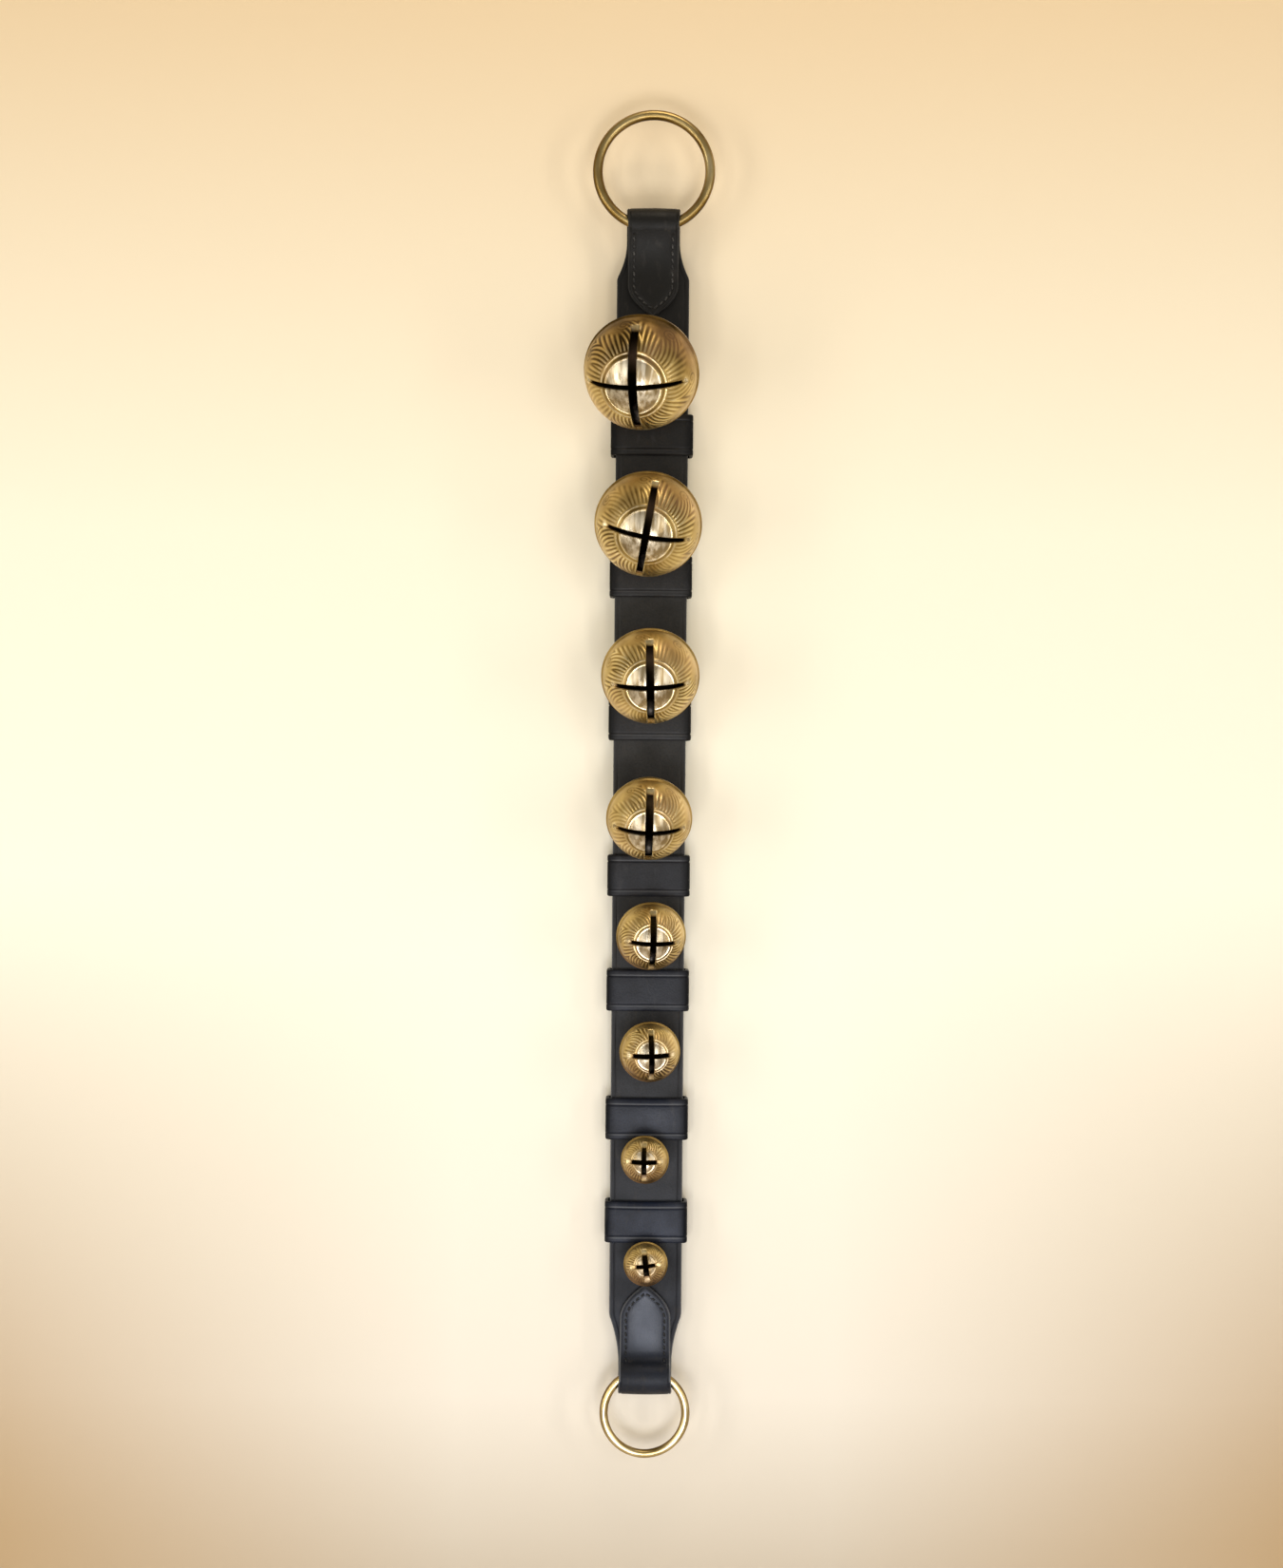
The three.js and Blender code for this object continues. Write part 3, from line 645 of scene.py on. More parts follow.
def sleeve_line(half, front, back):
    """Points and outward normals round a sleeve, clockwise from above, from the middle of its back."""
    inset = half - KEEPER_CORNER
    near = front + KEEPER_CORNER
    far = back - KEEPER_CORNER
    from_seam = np.linspace(0, 1, 16) ** SEAM_CROWDING
    even = np.linspace(0, 1, 41)
    side = np.linspace(0, 1, 6)
    runs = [
        straight_run((0, back), (inset, back), (0, 1), from_seam),
        corner(inset, far, math.pi / 2),
        straight_run((half, far), (half, near), (1, 0), side),
        corner(inset, near, 0),
        straight_run((inset, front), (-inset, front), (0, -1), even),
        corner(-inset, near, -math.pi / 2),
        straight_run((-half, near), (-half, far), (-1, 0), side),
        corner(-inset, far, math.pi),
        straight_run((-inset, back), (0, back), (0, 1), 1 - from_seam[:0:-1]),
    ]
    points, normals = zip(*runs)
    return np.vstack(points), np.vstack(normals)


def make_keeper(number, leather, thread):
    low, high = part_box(f"keeper_{number}")
    middle = (low.z + high.z) / 2
    half_height = (high.z - low.z) / 2
    points, normals = sleeve_line(high.x, low.y, high.y)
    lower = KEEPER_EDGE_SPACING - half_height
    inner = np.linspace(lower[-1], -lower[-1], KEEPER_ROWS)[1:-1]
    heights = np.concatenate([lower, inner, -lower[::-1]])
    distance = half_height - np.abs(heights)
    depths = rounded_off(distance) + KEEPER_CREASE_DEPTH * ridge(distance - KEEPER_CREASE, CREASE_WIDTH)
    inner_heights = np.linspace(half_height, -half_height, KEEPER_ROWS)
    inner_fall = np.minimum(rounded_off(half_height - np.abs(inner_heights)), KEEPER_WALL / 4)
    heights = np.concatenate([heights, inner_heights])
    depths = np.concatenate([depths, KEEPER_WALL - inner_fall])
    bow = KEEPER_CROWN + KEEPER_BOW[number - 1] * MM * smooth_step(-half_height, half_height, heights)
    bow *= 1 - (heights / half_height) ** 4
    sections = []
    for (x, y), (out_x, out_y) in zip(points, normals):
        seam = SEAM_DEPTH * ridge(x, SEAM_WIDTH) if out_y > 0.9 else 0
        depth = np.maximum(depths, seam)
        forward = bow * max(0, -out_y) * (1 - (x / high.x) ** 2)
        sections.append(rows_of(x - out_x * depth, y - out_y * depth - forward, middle + heights))
    keeper = loft(f"keeper_{number}_leather", sections, "joined")
    smooth(keeper)
    # painted shade: each keeper is painted darker at its sides, where it turns away
    painted_side_shade = smooth_step(high.x - KEEPER_SIDE_SHADE, high.x, np.abs(points[:, 0]))
    # painted highlight: a lighter line along the top and bottom rims, only across the front's middle
    edge = ridge(half_height - np.abs(heights) - KEEPER_HIGHLIGHT, KEEPER_HIGHLIGHT_WIDTH)
    set_attribute(keeper, "painted_side_shade", np.repeat(painted_side_shade, len(heights)))
    set_attribute(keeper, "edge", np.outer(1 - painted_side_shade, edge).ravel())
    finish_piece(keeper, leather, f"keeper_{number}", "keeper_leather", f"keeper_{number}")
    out = Vector((0, 1, 0))
    along = Vector((math.cos(2 * STITCH_TILT), 0, math.sin(2 * STITCH_TILT)))
    spread = np.linspace(-SEAM_SPREAD, SEAM_SPREAD, SEAM_STITCHES) * half_height
    places = [(Vector((0, high.y - SEAM_SINK, middle + z)), along, out) for z in spread]
    seam = stitches(f"keeper_{number}_seam", places)
    finish_piece(seam, thread, f"keeper_{number}", "thread")


# Bells. A place on a ball has an angle from the middle of the front and a turn round the bell's axis.
# A bell's own frame has the ball's middle at the origin, the front at -Y and the pin at +Y.
RIM_HALF = 0.75 * MM  # half the rim's width, where it rises from the ball
LINE_WIDTH = 0.38 * MM  # half the width of the lines round the cap and of the scrolls
FLUTES_PER_LEAF = 8
LEAF_SLANT = 2.2  # flutes that a stroke crosses on its way out, as it bends away from the leaf's rib
LEAF_SWIRL = 0.3  # how far a leaf's tip turns aside, as a share of its width
FLUTES_SHORTEST = 0.6  # how far out the strokes go, as shares of the ornament's width
FLUTES_LONGEST = 1.02
FLUTES_FADE = 0.22
FLUTES_RISE = (-0.02, 0.05)
FLUTES_LOWER = 0.25  # how much lower the strokes get on their way out
HANDLED = 0.3  # how much fainter than the mean the rubbed sides are
HANDLED_TURN = 2.4  # radians from bell to bell
STROKE_HEIGHT = 0.5  # as shares of the depth of a bell's ornament
SCROLL_DEPTH = 0.25
CAP_LINE_HEIGHT = 1.1
BACK_FAINTER = 0.75  # how much lower the ornament is on the back
BACK_FADE = 10 * DEGREE
SCROLL_SHARE = 0.8  # how far out the scrolls between the leaves stand
SCROLL_REACH = 0.15  # radius and pitch of a scroll, as shares of the ball's radius
SCROLL_PITCH = 0.075


def ornament_share(angle):
    """0 at the inner edge of the ornament and 1 at its outer edge."""
    return (angle - ORNAMENT_START) / (ORNAMENT_END - ORNAMENT_START)


def fluting(bell, angle, turn):
    """The leaves' strokes: a wave from -1 in a groove to 1 on a ridge, fading out at the leaf's edge.

    They are rubbed fainter on two sides, elsewhere on each bell.
    """
    share = ornament_share(angle)
    leaf = bell.leaves * turn / (2 * math.pi) - LEAF_SWIRL * np.clip(share, 0, 1) ** 1.5
    across = 2 * (leaf - np.floor(leaf)) - 1
    phase = FLUTES_PER_LEAF * np.abs(across) / 2 - LEAF_SLANT * np.clip(share, 0, 1) ** 2
    longer = 0.5 + 0.5 * np.cos(math.pi * across)
    ends = FLUTES_SHORTEST + (FLUTES_LONGEST - FLUTES_SHORTEST) * longer
    strength = smooth_step(*FLUTES_RISE, share) * (1 - smooth_step(ends - FLUTES_FADE, ends, share))
    handled = 1 - HANDLED + HANDLED * np.cos(2 * turn + HANDLED_TURN * bell.number)
    return np.cos(2 * math.pi * phase) * strength * handled * (1 - FLUTES_LOWER * np.clip(share, 0, 1))


def scrolls(bell, angle, turn):
    """The curls between the leaves, each turning the other way than the last: 1 along their lines."""
    leaf = bell.leaves * turn / (2 * math.pi)
    nearest = np.round(leaf)
    hand = 1 - 2 * (nearest % 2)
    aside = hand * (leaf - nearest) * 2 * math.pi / bell.leaves * np.sin(angle)
    out = angle - ORNAMENT_START - SCROLL_SHARE * (ORNAMENT_END - ORNAMENT_START)
    radius = np.hypot(aside, out)
    spiral = radius / SCROLL_PITCH - np.arctan2(out, aside) / (2 * math.pi)
    line = ridge((spiral - np.round(spiral)) * SCROLL_PITCH * bell.ball, LINE_WIDTH)
    return line * (1 - smooth_step(0.8 * SCROLL_REACH, SCROLL_REACH, radius))


def cap_lines(bell, angle):
    lines = [CAP_ANGLE, CAP_ANGLE + CAP_LINE_STEP]
    return sum(ridge((angle - line) * bell.ball, LINE_WIDTH) for line in lines)


def cap_ground(bell, angle):
    """The band that the lines round the cap stand on, which is painted darker as painted shade."""
    return ridge((angle - CAP_ANGLE - CAP_LINE_STEP / 2) * bell.ball, 3 * LINE_WIDTH)


def relief(bell, angle, turn):
    """Height above the ball, in metres. The back has the front's leaves, fainter, but no cap."""
    front = np.minimum(angle, math.pi - angle)
    carved = STROKE_HEIGHT * fluting(bell, front, turn) - SCROLL_DEPTH * scrolls(bell, front, turn)
    carved *= 1 - BACK_FAINTER * smooth_step(math.pi / 2, math.pi / 2 + BACK_FADE, angle)
    rim = RIM_PROUD * np.exp(-((angle - math.pi / 2) * bell.ball / RIM_HALF) ** 4)
    return bell.relief * (carved + CAP_LINE_HEIGHT * cap_lines(bell, angle)) + rim


def bell_sections(bell):
    """Rings of points from the middle of the front over the ball and the neck to the shank's end."""
    step = BELL_STEP + BELL_STEP_GROWTH * bell.ball
    around = 8 * round(2 * math.pi * bell.ball / (1.2 * step) / 8)
    neck_angle = math.pi - math.asin((bell.shank + NECK_FILLET) / bell.ball)
    angles = np.linspace(POLE_GAP / 2, neck_angle, round(neck_angle * bell.ball / step))[:, None]
    turns = whole_turn(around)[None, :]
    radii = bell.ball + relief(bell, angles, turns + bell.turn)
    outward = radii * np.sin(angles)
    depth = -radii * np.cos(angles)
    leave = -bell.ball * math.cos(neck_angle)
    curve = np.linspace(0, 1, NECK_ROWS)[1:]
    fillet_out = bell.shank + NECK_FILLET * (1 - curve) ** 2
    fillet_depth = leave + NECK_STRETCH * NECK_FILLET * curve
    rounding = np.linspace(0, 0.98, NECK_ROWS) * math.pi / 2
    shank_out = np.concatenate([fillet_out, bell.shank * np.cos(rounding)])[:, None]
    shank_depth = np.concatenate([fillet_depth, bell.arm + bell.shank * np.sin(rounding)])[:, None]
    outward = np.vstack([outward, shank_out * np.ones_like(turns)])
    depth = np.vstack([depth, shank_depth * np.ones_like(turns)])
    return rows_of(outward * np.cos(turns), depth, outward * np.sin(turns))


def slot_cutter(bell, slot):
    """A sawn slot with chamfered edges, cut to the ball's curve. A ramp at each end climbs to the surface."""
    run_out = SLOT_RUN_OUT / bell.ball
    above = bell.relief + SLOT_CLEAR
    last = slot.reach + run_out * (1 + above / BELL_WALL)
    one_side = np.concatenate([np.linspace(0, slot.reach, 24), np.linspace(slot.reach, last, 12)[1:]])
    angles = np.concatenate([-one_side[:0:-1], one_side])
    climb = (np.abs(angles) - slot.reach) / run_out
    floors = np.where(climb > 0, bell.ball - BELL_WALL * (1 - climb), bell.ball - SLOT_DEPTH)
    halves = slot.width / 2 * (1 - slot.taper * (angles / last) ** 2)
    along = Vector((math.sin(slot.turn), 0, math.cos(slot.turn)))
    aside = np.array((math.cos(slot.turn), 0, -math.sin(slot.turn)))
    sections = []
    for angle, floor, half in zip(angles, floors, halves):
        out = np.array(along * math.sin(angle) - Vector((0, math.cos(angle), 0)))
        brink = max(bell.ball - SLOT_CHAMFER, floor + SLOT_SLIVER)
        spread = half + SLOT_CHAMFER + above
        top = bell.ball + above + 2 * SLOT_SLIVER
        sections.append([
            out * floor - aside * half, out * floor + aside * half, out * brink + aside * half,
            out * top + aside * spread, out * top - aside * spread, out * brink - aside * half,
        ])
    return loft("slot", sections)


def slot_end_glints(bell, points):
    """1 on the ramps at the slots' ends, where a painted highlight goes, falling to nothing round them."""
    near = np.zeros(len(points))
    for slot in bell.slots:
        for side in (-1, 1):
            angle = side * (slot.reach + RAMP_MIDDLE * SLOT_RUN_OUT / bell.ball)
            along = math.sin(angle)
            end = np.array((math.sin(slot.turn) * along, -math.cos(angle), math.cos(slot.turn) * along))
            apart = np.linalg.norm(points - bell.ball * end, axis=1)
            near = np.maximum(near, ridge(apart, 0.25 * SLOT_RUN_OUT + slot.width / 3))
    return near


def make_bell(bell, brass):
    piece = loft(f"bell_{bell.number}_casting", bell_sections(bell))
    reach = 2 * bell.shank
    cut_away(piece, [
        loft("hollow", sphere_sections(bell.ball - BELL_WALL, 40, 64)),
        *(slot_cutter(bell, slot) for slot in bell.slots),
        rod("eye", (-reach, bell.arm, 0), (reach, bell.arm, 0), bell.eye),
    ])
    smooth(piece)
    points = mesh_points(piece)
    distance = np.linalg.norm(points, axis=1)
    angle = np.arccos(np.clip(-points[:, 1] / distance, -1, 1))
    turn = np.arctan2(points[:, 2], points[:, 0]) + bell.turn
    front = np.minimum(angle, math.pi - angle)
    outside = smooth_step(bell.ball - BELL_WALL, bell.ball - 0.4 * BELL_WALL, distance)
    strokes = fluting(bell, front, turn)
    lines = cap_lines(bell, angle)
    # painted shade: a dark line along the rim
    painted_rim_shade = ridge((angle - math.pi / 2) * bell.ball, RIM_WIDTH)
    ends = slot_end_glints(bell, points)
    # The tone runs from 0, brown, to 1, rubbed bright, and cap from 0, gold, to 1, silvery.
    # Patina darkens the scrolls and wear brightens the strokes and lines; painted highlights brighten the
    # slots' ends, and painted shade darkens the band under the cap's lines, the rim and one side of the bell
    dark = 0.2 * scrolls(bell, front, turn) + 0.2 * cap_ground(bell, angle) + 0.15 * painted_rim_shade
    # painted shade: the upper or the lower side of the bell is painted darker
    shaded_height = math.copysign(1, bell.side_shade) * points[:, 2]
    dark += abs(bell.side_shade) * smooth_step(-0.3 * bell.ball, bell.ball, shaded_height)
    tone_and_painted_light = 0.62 + 0.36 * strokes + 0.36 * lines + 0.5 * ends - dark
    set_attribute(piece, "tone_and_painted_light", outside * np.clip(tone_and_painted_light, 0, 1))
    flat = 1 - smooth_step(CAP_ANGLE - CAP_EDGE, CAP_ANGLE, angle)
    flat *= 1 - CAP_FADE * (angle / CAP_ANGLE) ** 2
    tips = np.clip(strokes, 0, 1) * (1 - smooth_step(0, 0.4, ornament_share(angle)))
    # painted highlight: the slots' ends are also painted more silvery
    bright = np.clip(flat + 0.55 * lines + 0.4 * tips + 0.7 * ends, 0, 1)
    set_attribute(piece, "cap", bell.silver * outside * bright)
    piece.data.transform(Matrix.Rotation(bell.droop, 4, "X") @ Matrix.Rotation(bell.lean, 4, "Z"))
    piece.location = bell.middle
    finish_piece(piece, brass, f"bell_{bell.number}", "bell_brass", f"bell_{bell.number}")


def make_pellet(number, steel):
    low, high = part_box(f"pellet_{number}")
    radius = (high.z - low.z) / 2
    pellet = loft(f"pellet_{number}_ball", sphere_sections(radius, 25, 40))
    smooth(pellet)
    pellet.location = (low + high) / 2
    finish_piece(pellet, steel, f"pellet_{number}", "steel", f"pellet_{number}")


def make_ring(body, polish_and_sheen, brass):
    low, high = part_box(body)
    wire = (high.y - low.y) / 2
    middle_line = (high.x - low.x) / 2 - wire
    turns = whole_turn(144)[:, None]
    sides = whole_turn(32)[None, :]
    outward = middle_line + wire * np.cos(sides)
    circles = rows_of(outward * np.cos(turns), wire * np.sin(sides), outward * np.sin(turns))
    ring = loft(f"{body}_wire", circles, "joined")
    smooth(ring)
    # painted shade: the wire's inner and outer sides are darker, its front and back brighter
    set_attribute(ring, "tone_and_painted_light", polish_and_sheen * np.tile(np.abs(np.sin(sides[0])), len(turns)))
    ring.location = (low + high) / 2
    finish_piece(ring, brass, body, "ring_brass", body)


# Materials
def srgb(red, green, blue):
    """A colour written from 0 to 255, in the linear values that shaders take."""
    shares = np.array([red, green, blue]) / 255
    linear = np.where(shares <= 0.04045, shares / 12.92, ((shares + 0.055) / 1.055) ** 2.4)
    return (*linear.tolist(), 1)


class Nodes:
    """Short ways to add and link the nodes of a material or a world."""

    def __init__(self, owner):
        owner.use_nodes = True
        self.tree = owner.node_tree

    def add(self, kind, inputs=None, **settings):
        node = self.tree.nodes.new(kind)
        for name, value in settings.items():
            setattr(node, name, value)
        for name, value in (inputs or {}).items():
            self.put(node.inputs[name], value)
        return node

    def put(self, socket, value):
        if isinstance(value, bpy.types.NodeSocket):
            self.tree.links.new(value, socket)
        else:
            socket.default_value = value

    def parts(self, vector):
        return self.add("ShaderNodeSeparateXYZ", {"Vector": vector}).outputs

    def span(self, value, low, high, start, end):
        inputs = {"Value": value, "From Min": low, "From Max": high, "To Min": start, "To Max": end}
        return self.add("ShaderNodeMapRange", inputs).outputs[0]

    def ramp(self, value, *stops):
        node = self.add("ShaderNodeValToRGB", {"Fac": value})
        elements = node.color_ramp.elements
        for index, (position, colour) in enumerate(stops):
            element = elements[index] if index < 2 else elements.new(position)
            element.position = position
            element.color = colour
        return node.outputs["Color"]


class Finish(Nodes):
    """A material in the making."""

    def __init__(self, name):
        self.material = bpy.data.materials.new(name)
        super().__init__(self.material)
        self.surface = self.tree.nodes["Principled BSDF"]
        self.place = self.add("ShaderNodeTexCoord").outputs["Object"]

    def set(self, **values):
        """Puts values or outputs on the surface: base_color stands for Base Color."""
        for name, value in values.items():
            self.put(self.surface.inputs[name.replace("_", " ").title().replace("Ior", "IOR")], value)

    def noise(self, scale, detail=3.0, stretch=(1, 1, 1)):
        spread = self.add("ShaderNodeMapping", {"Vector": self.place, "Scale": stretch})
        inputs = {"Vector": spread.outputs[0], "Scale": scale, "Detail": detail}
        return self.add("ShaderNodeTexNoise", inputs).outputs["Fac"]

    def cells(self, scale):
        inputs = {"Vector": self.place, "Scale": scale}
        return self.add("ShaderNodeTexVoronoi", inputs, feature="SMOOTH_F1").outputs["Distance"]

    def attribute(self, name):
        return self.add("ShaderNodeAttribute", attribute_name=name).outputs["Fac"]

    def down_strap(self):
        """0 at the top fold and 1 at the bottom fold."""
        return self.span(self.parts(self.place)["Z"], TOP.fold.z, BOTTOM.fold.z, 0.0, 1.0)

    def math(self, operation, first, second):
        node = self.add("ShaderNodeMath", operation=operation)
        self.put(node.inputs[0], first)
        self.put(node.inputs[1], second)
        return node.outputs[0]

    def times(self, first, second):
        return self.math("MULTIPLY", first, second)

    def mix(self, share, first, second):
        node = self.add("ShaderNodeMix", data_type="RGBA")
        self.put(node.inputs[0], share)
        self.put(node.inputs[6], first)
        self.put(node.inputs[7], second)
        return node.outputs[2]

    def bump(self, height, distance, strength, below=None):
        inputs = {"Height": height, "Distance": distance, "Strength": strength}
        if below is not None:
            inputs["Normal"] = below
        return self.add("ShaderNodeBump", inputs).outputs[0]


def leather_finish(name, upper, middle, lower, scuffed, roughness, grain_depth):
    """Black harness leather: grain, pores, scuffs, painted highlights along the edges, and polish with a
    painted bluish sheen where hands have held it. Its colour goes from brownish black to bluish black down
    the strap, as a painted sheen, and the keepers' sides are painted darker as painted shade.
    """
    finish = Finish(name)
    foot = finish.down_strap()
    blotches = finish.noise(70, 5)
    scuffs = finish.span(finish.noise(260, 8, (1, 1, 0.35)), 0.58, 0.8, 0.0, 0.55)
    painted_side_shade = finish.attribute("painted_side_shade")
    # painted sheen: the colour turns from brownish black at the top to a cool bluish black at the bottom
    tone_and_painted_light = finish.ramp(foot, (0.05, upper), (1.0, lower), (0.4, middle))
    # painted shade: darker colour and less shine at the keepers' sides
    plain = finish.mix(finish.times(painted_side_shade, 0.8), tone_and_painted_light, srgb(10, 10, 11))
    mottled = finish.mix(finish.span(blotches, 0.3, 0.75, 0.0, 0.5), plain, srgb(16, 15, 14))
    grain = finish.cells(1250)
    lit = finish.mix(finish.span(grain, 0.25, 0.75, 0.0, 0.3), mottled, srgb(10, 9, 9))
    polish_and_sheen = finish.attribute("polish_and_sheen")
    # painted highlight: the edges are painted lighter, more so towards the bottom of the strap
    edge_highlight_share = finish.times(finish.attribute("edge"), finish.span(foot, 0.2, 1.0, 0.1, 0.7))
    marked = finish.mix(scuffs, lit, scuffed)
    # painted sheen: the polished middle is painted bluish, besides its lower roughness and higher shine
    painted_sheen = finish.mix(finish.times(polish_and_sheen, 0.6), marked, srgb(38, 50, 72))
    finish.set(base_color=finish.mix(edge_highlight_share, painted_sheen, srgb(104, 106, 110)))
    dull = finish.span(blotches, 0.25, 0.75, roughness - 0.08, roughness + 0.1)
    finish.set(roughness=finish.math("SUBTRACT", dull, finish.times(polish_and_sheen, 0.1)))
    shine = finish.span(polish_and_sheen, 0.0, 1.0, 0.22, 0.5)
    finish.set(specular_ior_level=finish.times(shine, finish.span(painted_side_shade, 0.0, 1.0, 1.0, 0.25)))
    pores = finish.bump(finish.noise(4200, 2), 0.05 * MM, 0.35)
    pebbled = finish.bump(grain, grain_depth, 0.5, pores)
    uneven = finish.span(polish_and_sheen, 0.0, 1.0, 0.3, 0.1)
    finish.set(normal=finish.bump(finish.noise(110, 3), 0.5 * MM, uneven, pebbled))
    return finish.material


def bell_finish():
    """Cast brass: brown in the hollows of the ornament, rubbed bright on top, and a polished cap with painted
    streaks of reflection.
    """
    finish = Finish("cast_brass")
    tone_and_painted_light = finish.attribute("tone_and_painted_light")
    cap = finish.attribute("cap")
    cloud = finish.noise(85, 5)
    rubbed = finish.math("ADD", tone_and_painted_light, finish.span(cloud, 0.25, 0.75, -0.2, 0.16))
    gold = finish.ramp(
        rubbed,
        (0.0, srgb(56, 42, 18)),
        (1.0, srgb(240, 222, 172)),
        (0.25, srgb(108, 85, 41)),
        (0.5, srgb(178, 151, 92)),
        (0.75, srgb(209, 184, 121)),
    )
    blush = finish.mix(finish.span(finish.noise(34, 2), 0.5, 0.7, 0.0, 0.4), gold, srgb(204, 164, 128))
    streaks_and_reflections = finish.noise(420, 2, (1, 1, 0.1))
    # painted reflection: the cap is streaked light and dark, like reflected window edges
    silver = finish.mix(finish.span(streaks_and_reflections, 0.35, 0.62, 0.0, 1.0), srgb(232, 224, 205), srgb(142, 126, 98))
    finish.set(base_color=finish.mix(cap, blush, silver), metallic=1.0)
    dull = finish.span(rubbed, 0.0, 1.0, 0.56, 0.3)
    smeared = finish.math("ADD", dull, finish.span(finish.noise(190, 6), 0.3, 0.7, -0.05, 0.08))
    finish.set(roughness=finish.math("SUBTRACT", smeared, finish.times(cap, 0.16)))
    cast = finish.bump(finish.noise(1500, 4), 0.05 * MM, 0.2)
    turned = finish.bump(streaks_and_reflections, 0.12 * MM, finish.times(cap, 0.5), cast)
    finish.set(normal=finish.bump(finish.noise(160, 2), 0.25 * MM, 0.15, turned))
    return finish.material


def ring_finish():
    """Drawn brass wire, tarnished in clouds, painted darker at its inner and outer sides as painted shade,
    and rubbed bright at the front and back.
    """
    finish = Finish("ring_brass")
    cloud = finish.noise(55, 4)
    rubbed = finish.math("ADD", finish.attribute("tone_and_painted_light"), finish.span(cloud, 0.3, 0.7, -0.22, 0.14))
    gold = finish.ramp(
        rubbed,
        (0.0, srgb(62, 46, 18)),
        (1.0, srgb(238, 226, 194)),
        (0.35, srgb(130, 102, 48)),
        (0.7, srgb(200, 178, 124)),
    )
    finish.set(base_color=gold, metallic=1.0)
    finish.set(roughness=finish.span(rubbed, 0.0, 1.0, 0.36, 0.27))
    finish.set(normal=finish.bump(finish.noise(300, 3), 0.08 * MM, 0.12))
    return finish.material


def thread_finish():
    """Waxed black thread with its twist, with paler specks towards the top."""
    finish = Finish("waxed_thread")
    twist = finish.add(
        "ShaderNodeTexWave", {"Vector": finish.place, "Scale": 900.0, "Distortion": 1.2},
        bands_direction="DIAGONAL",
    ).outputs["Fac"]
    foot = finish.down_strap()
    waxed = finish.ramp(twist, (0.1, srgb(6, 6, 7)), (0.9, srgb(22, 22, 24)))
    pale_specks = finish.times(finish.span(finish.noise(260, 2), 0.42, 0.6, 0.25, 1.0), twist)
    up_strap = finish.math("SUBTRACT", 1.0, foot)
    finish.set(base_color=finish.mix(finish.times(pale_specks, up_strap), waxed, srgb(90, 88, 84)))
    finish.set(roughness=finish.span(finish.noise(700, 3), 0.3, 0.7, 0.45, 0.7))
    finish.set(normal=finish.bump(twist, 0.12 * MM, 0.6))
    return finish.material


def steel_finish():
    """Plain steel, spotted with rust."""
    finish = Finish("plain_steel")
    rust = finish.span(finish.noise(420, 6), 0.5, 0.66, 0.0, 0.8)
    finish.set(base_color=finish.mix(rust, srgb(92, 87, 81), srgb(64, 43, 30)))
    finish.set(metallic=finish.span(rust, 0.0, 0.8, 1.0, 0.2))
    finish.set(roughness=finish.span(rust, 0.0, 0.8, 0.5, 0.8))
    finish.set(normal=finish.bump(finish.noise(1300, 3), 0.05 * MM, 0.4))
    return finish.material


def make_object():
    # The lower colours are bluish, as a painted sheen of a cool light from below.
    strap_leather = leather_finish(
        "strap_leather", srgb(20, 19, 16), srgb(51, 50, 48), srgb(26, 31, 42), srgb(56, 52, 48),
        0.5, 0.16 * MM,
    )
    keeper_leather = leather_finish(
        "keeper_leather", srgb(10, 10, 9), srgb(45, 45, 46), srgb(14, 27, 50), srgb(54, 54, 56),
        0.4, 0.13 * MM,
    )
    liner_leather = leather_finish(
        "liner_leather", srgb(40, 34, 28), srgb(40, 36, 32), srgb(40, 37, 35), srgb(84, 74, 62),
        0.72, 0.26 * MM,
    )
    thread = thread_finish()
    brass = bell_finish()
    ring_brass = ring_finish()
    steel = steel_finish()
    make_strap(strap_leather)
    make_liner(liner_leather)
    make_tongue_stitching(TOP, "top_tongue_stitches", thread, "top_stitching")
    make_tongue_stitching(BOTTOM, "bottom_tongue_stitches", thread, "bottom_stitching")
    for number in KEEPERS:
        make_keeper(number, keeper_leather, thread)
    for bell in BELLS:
        make_bell(bell, brass)
        make_pellet(bell.number, steel)
        paint(frame["nodes"][f"shank_pin_{bell.number}"], steel)
    make_ring("top_ring", TOP_RING_POLISH_AND_SHEEN, ring_brass)
    make_ring("bottom_ring", BOTTOM_RING_POLISH_AND_SHEEN, ring_brass)


# Stage: a pale wall that the strap hangs against, seen from its front only, and a pale floor
WALL_GAP = 0.6 * MM  # behind the keepers, which stand out furthest at the back
FLOOR_DROP = 0.9  # below the bottom ring
STAGE_REACH = 4


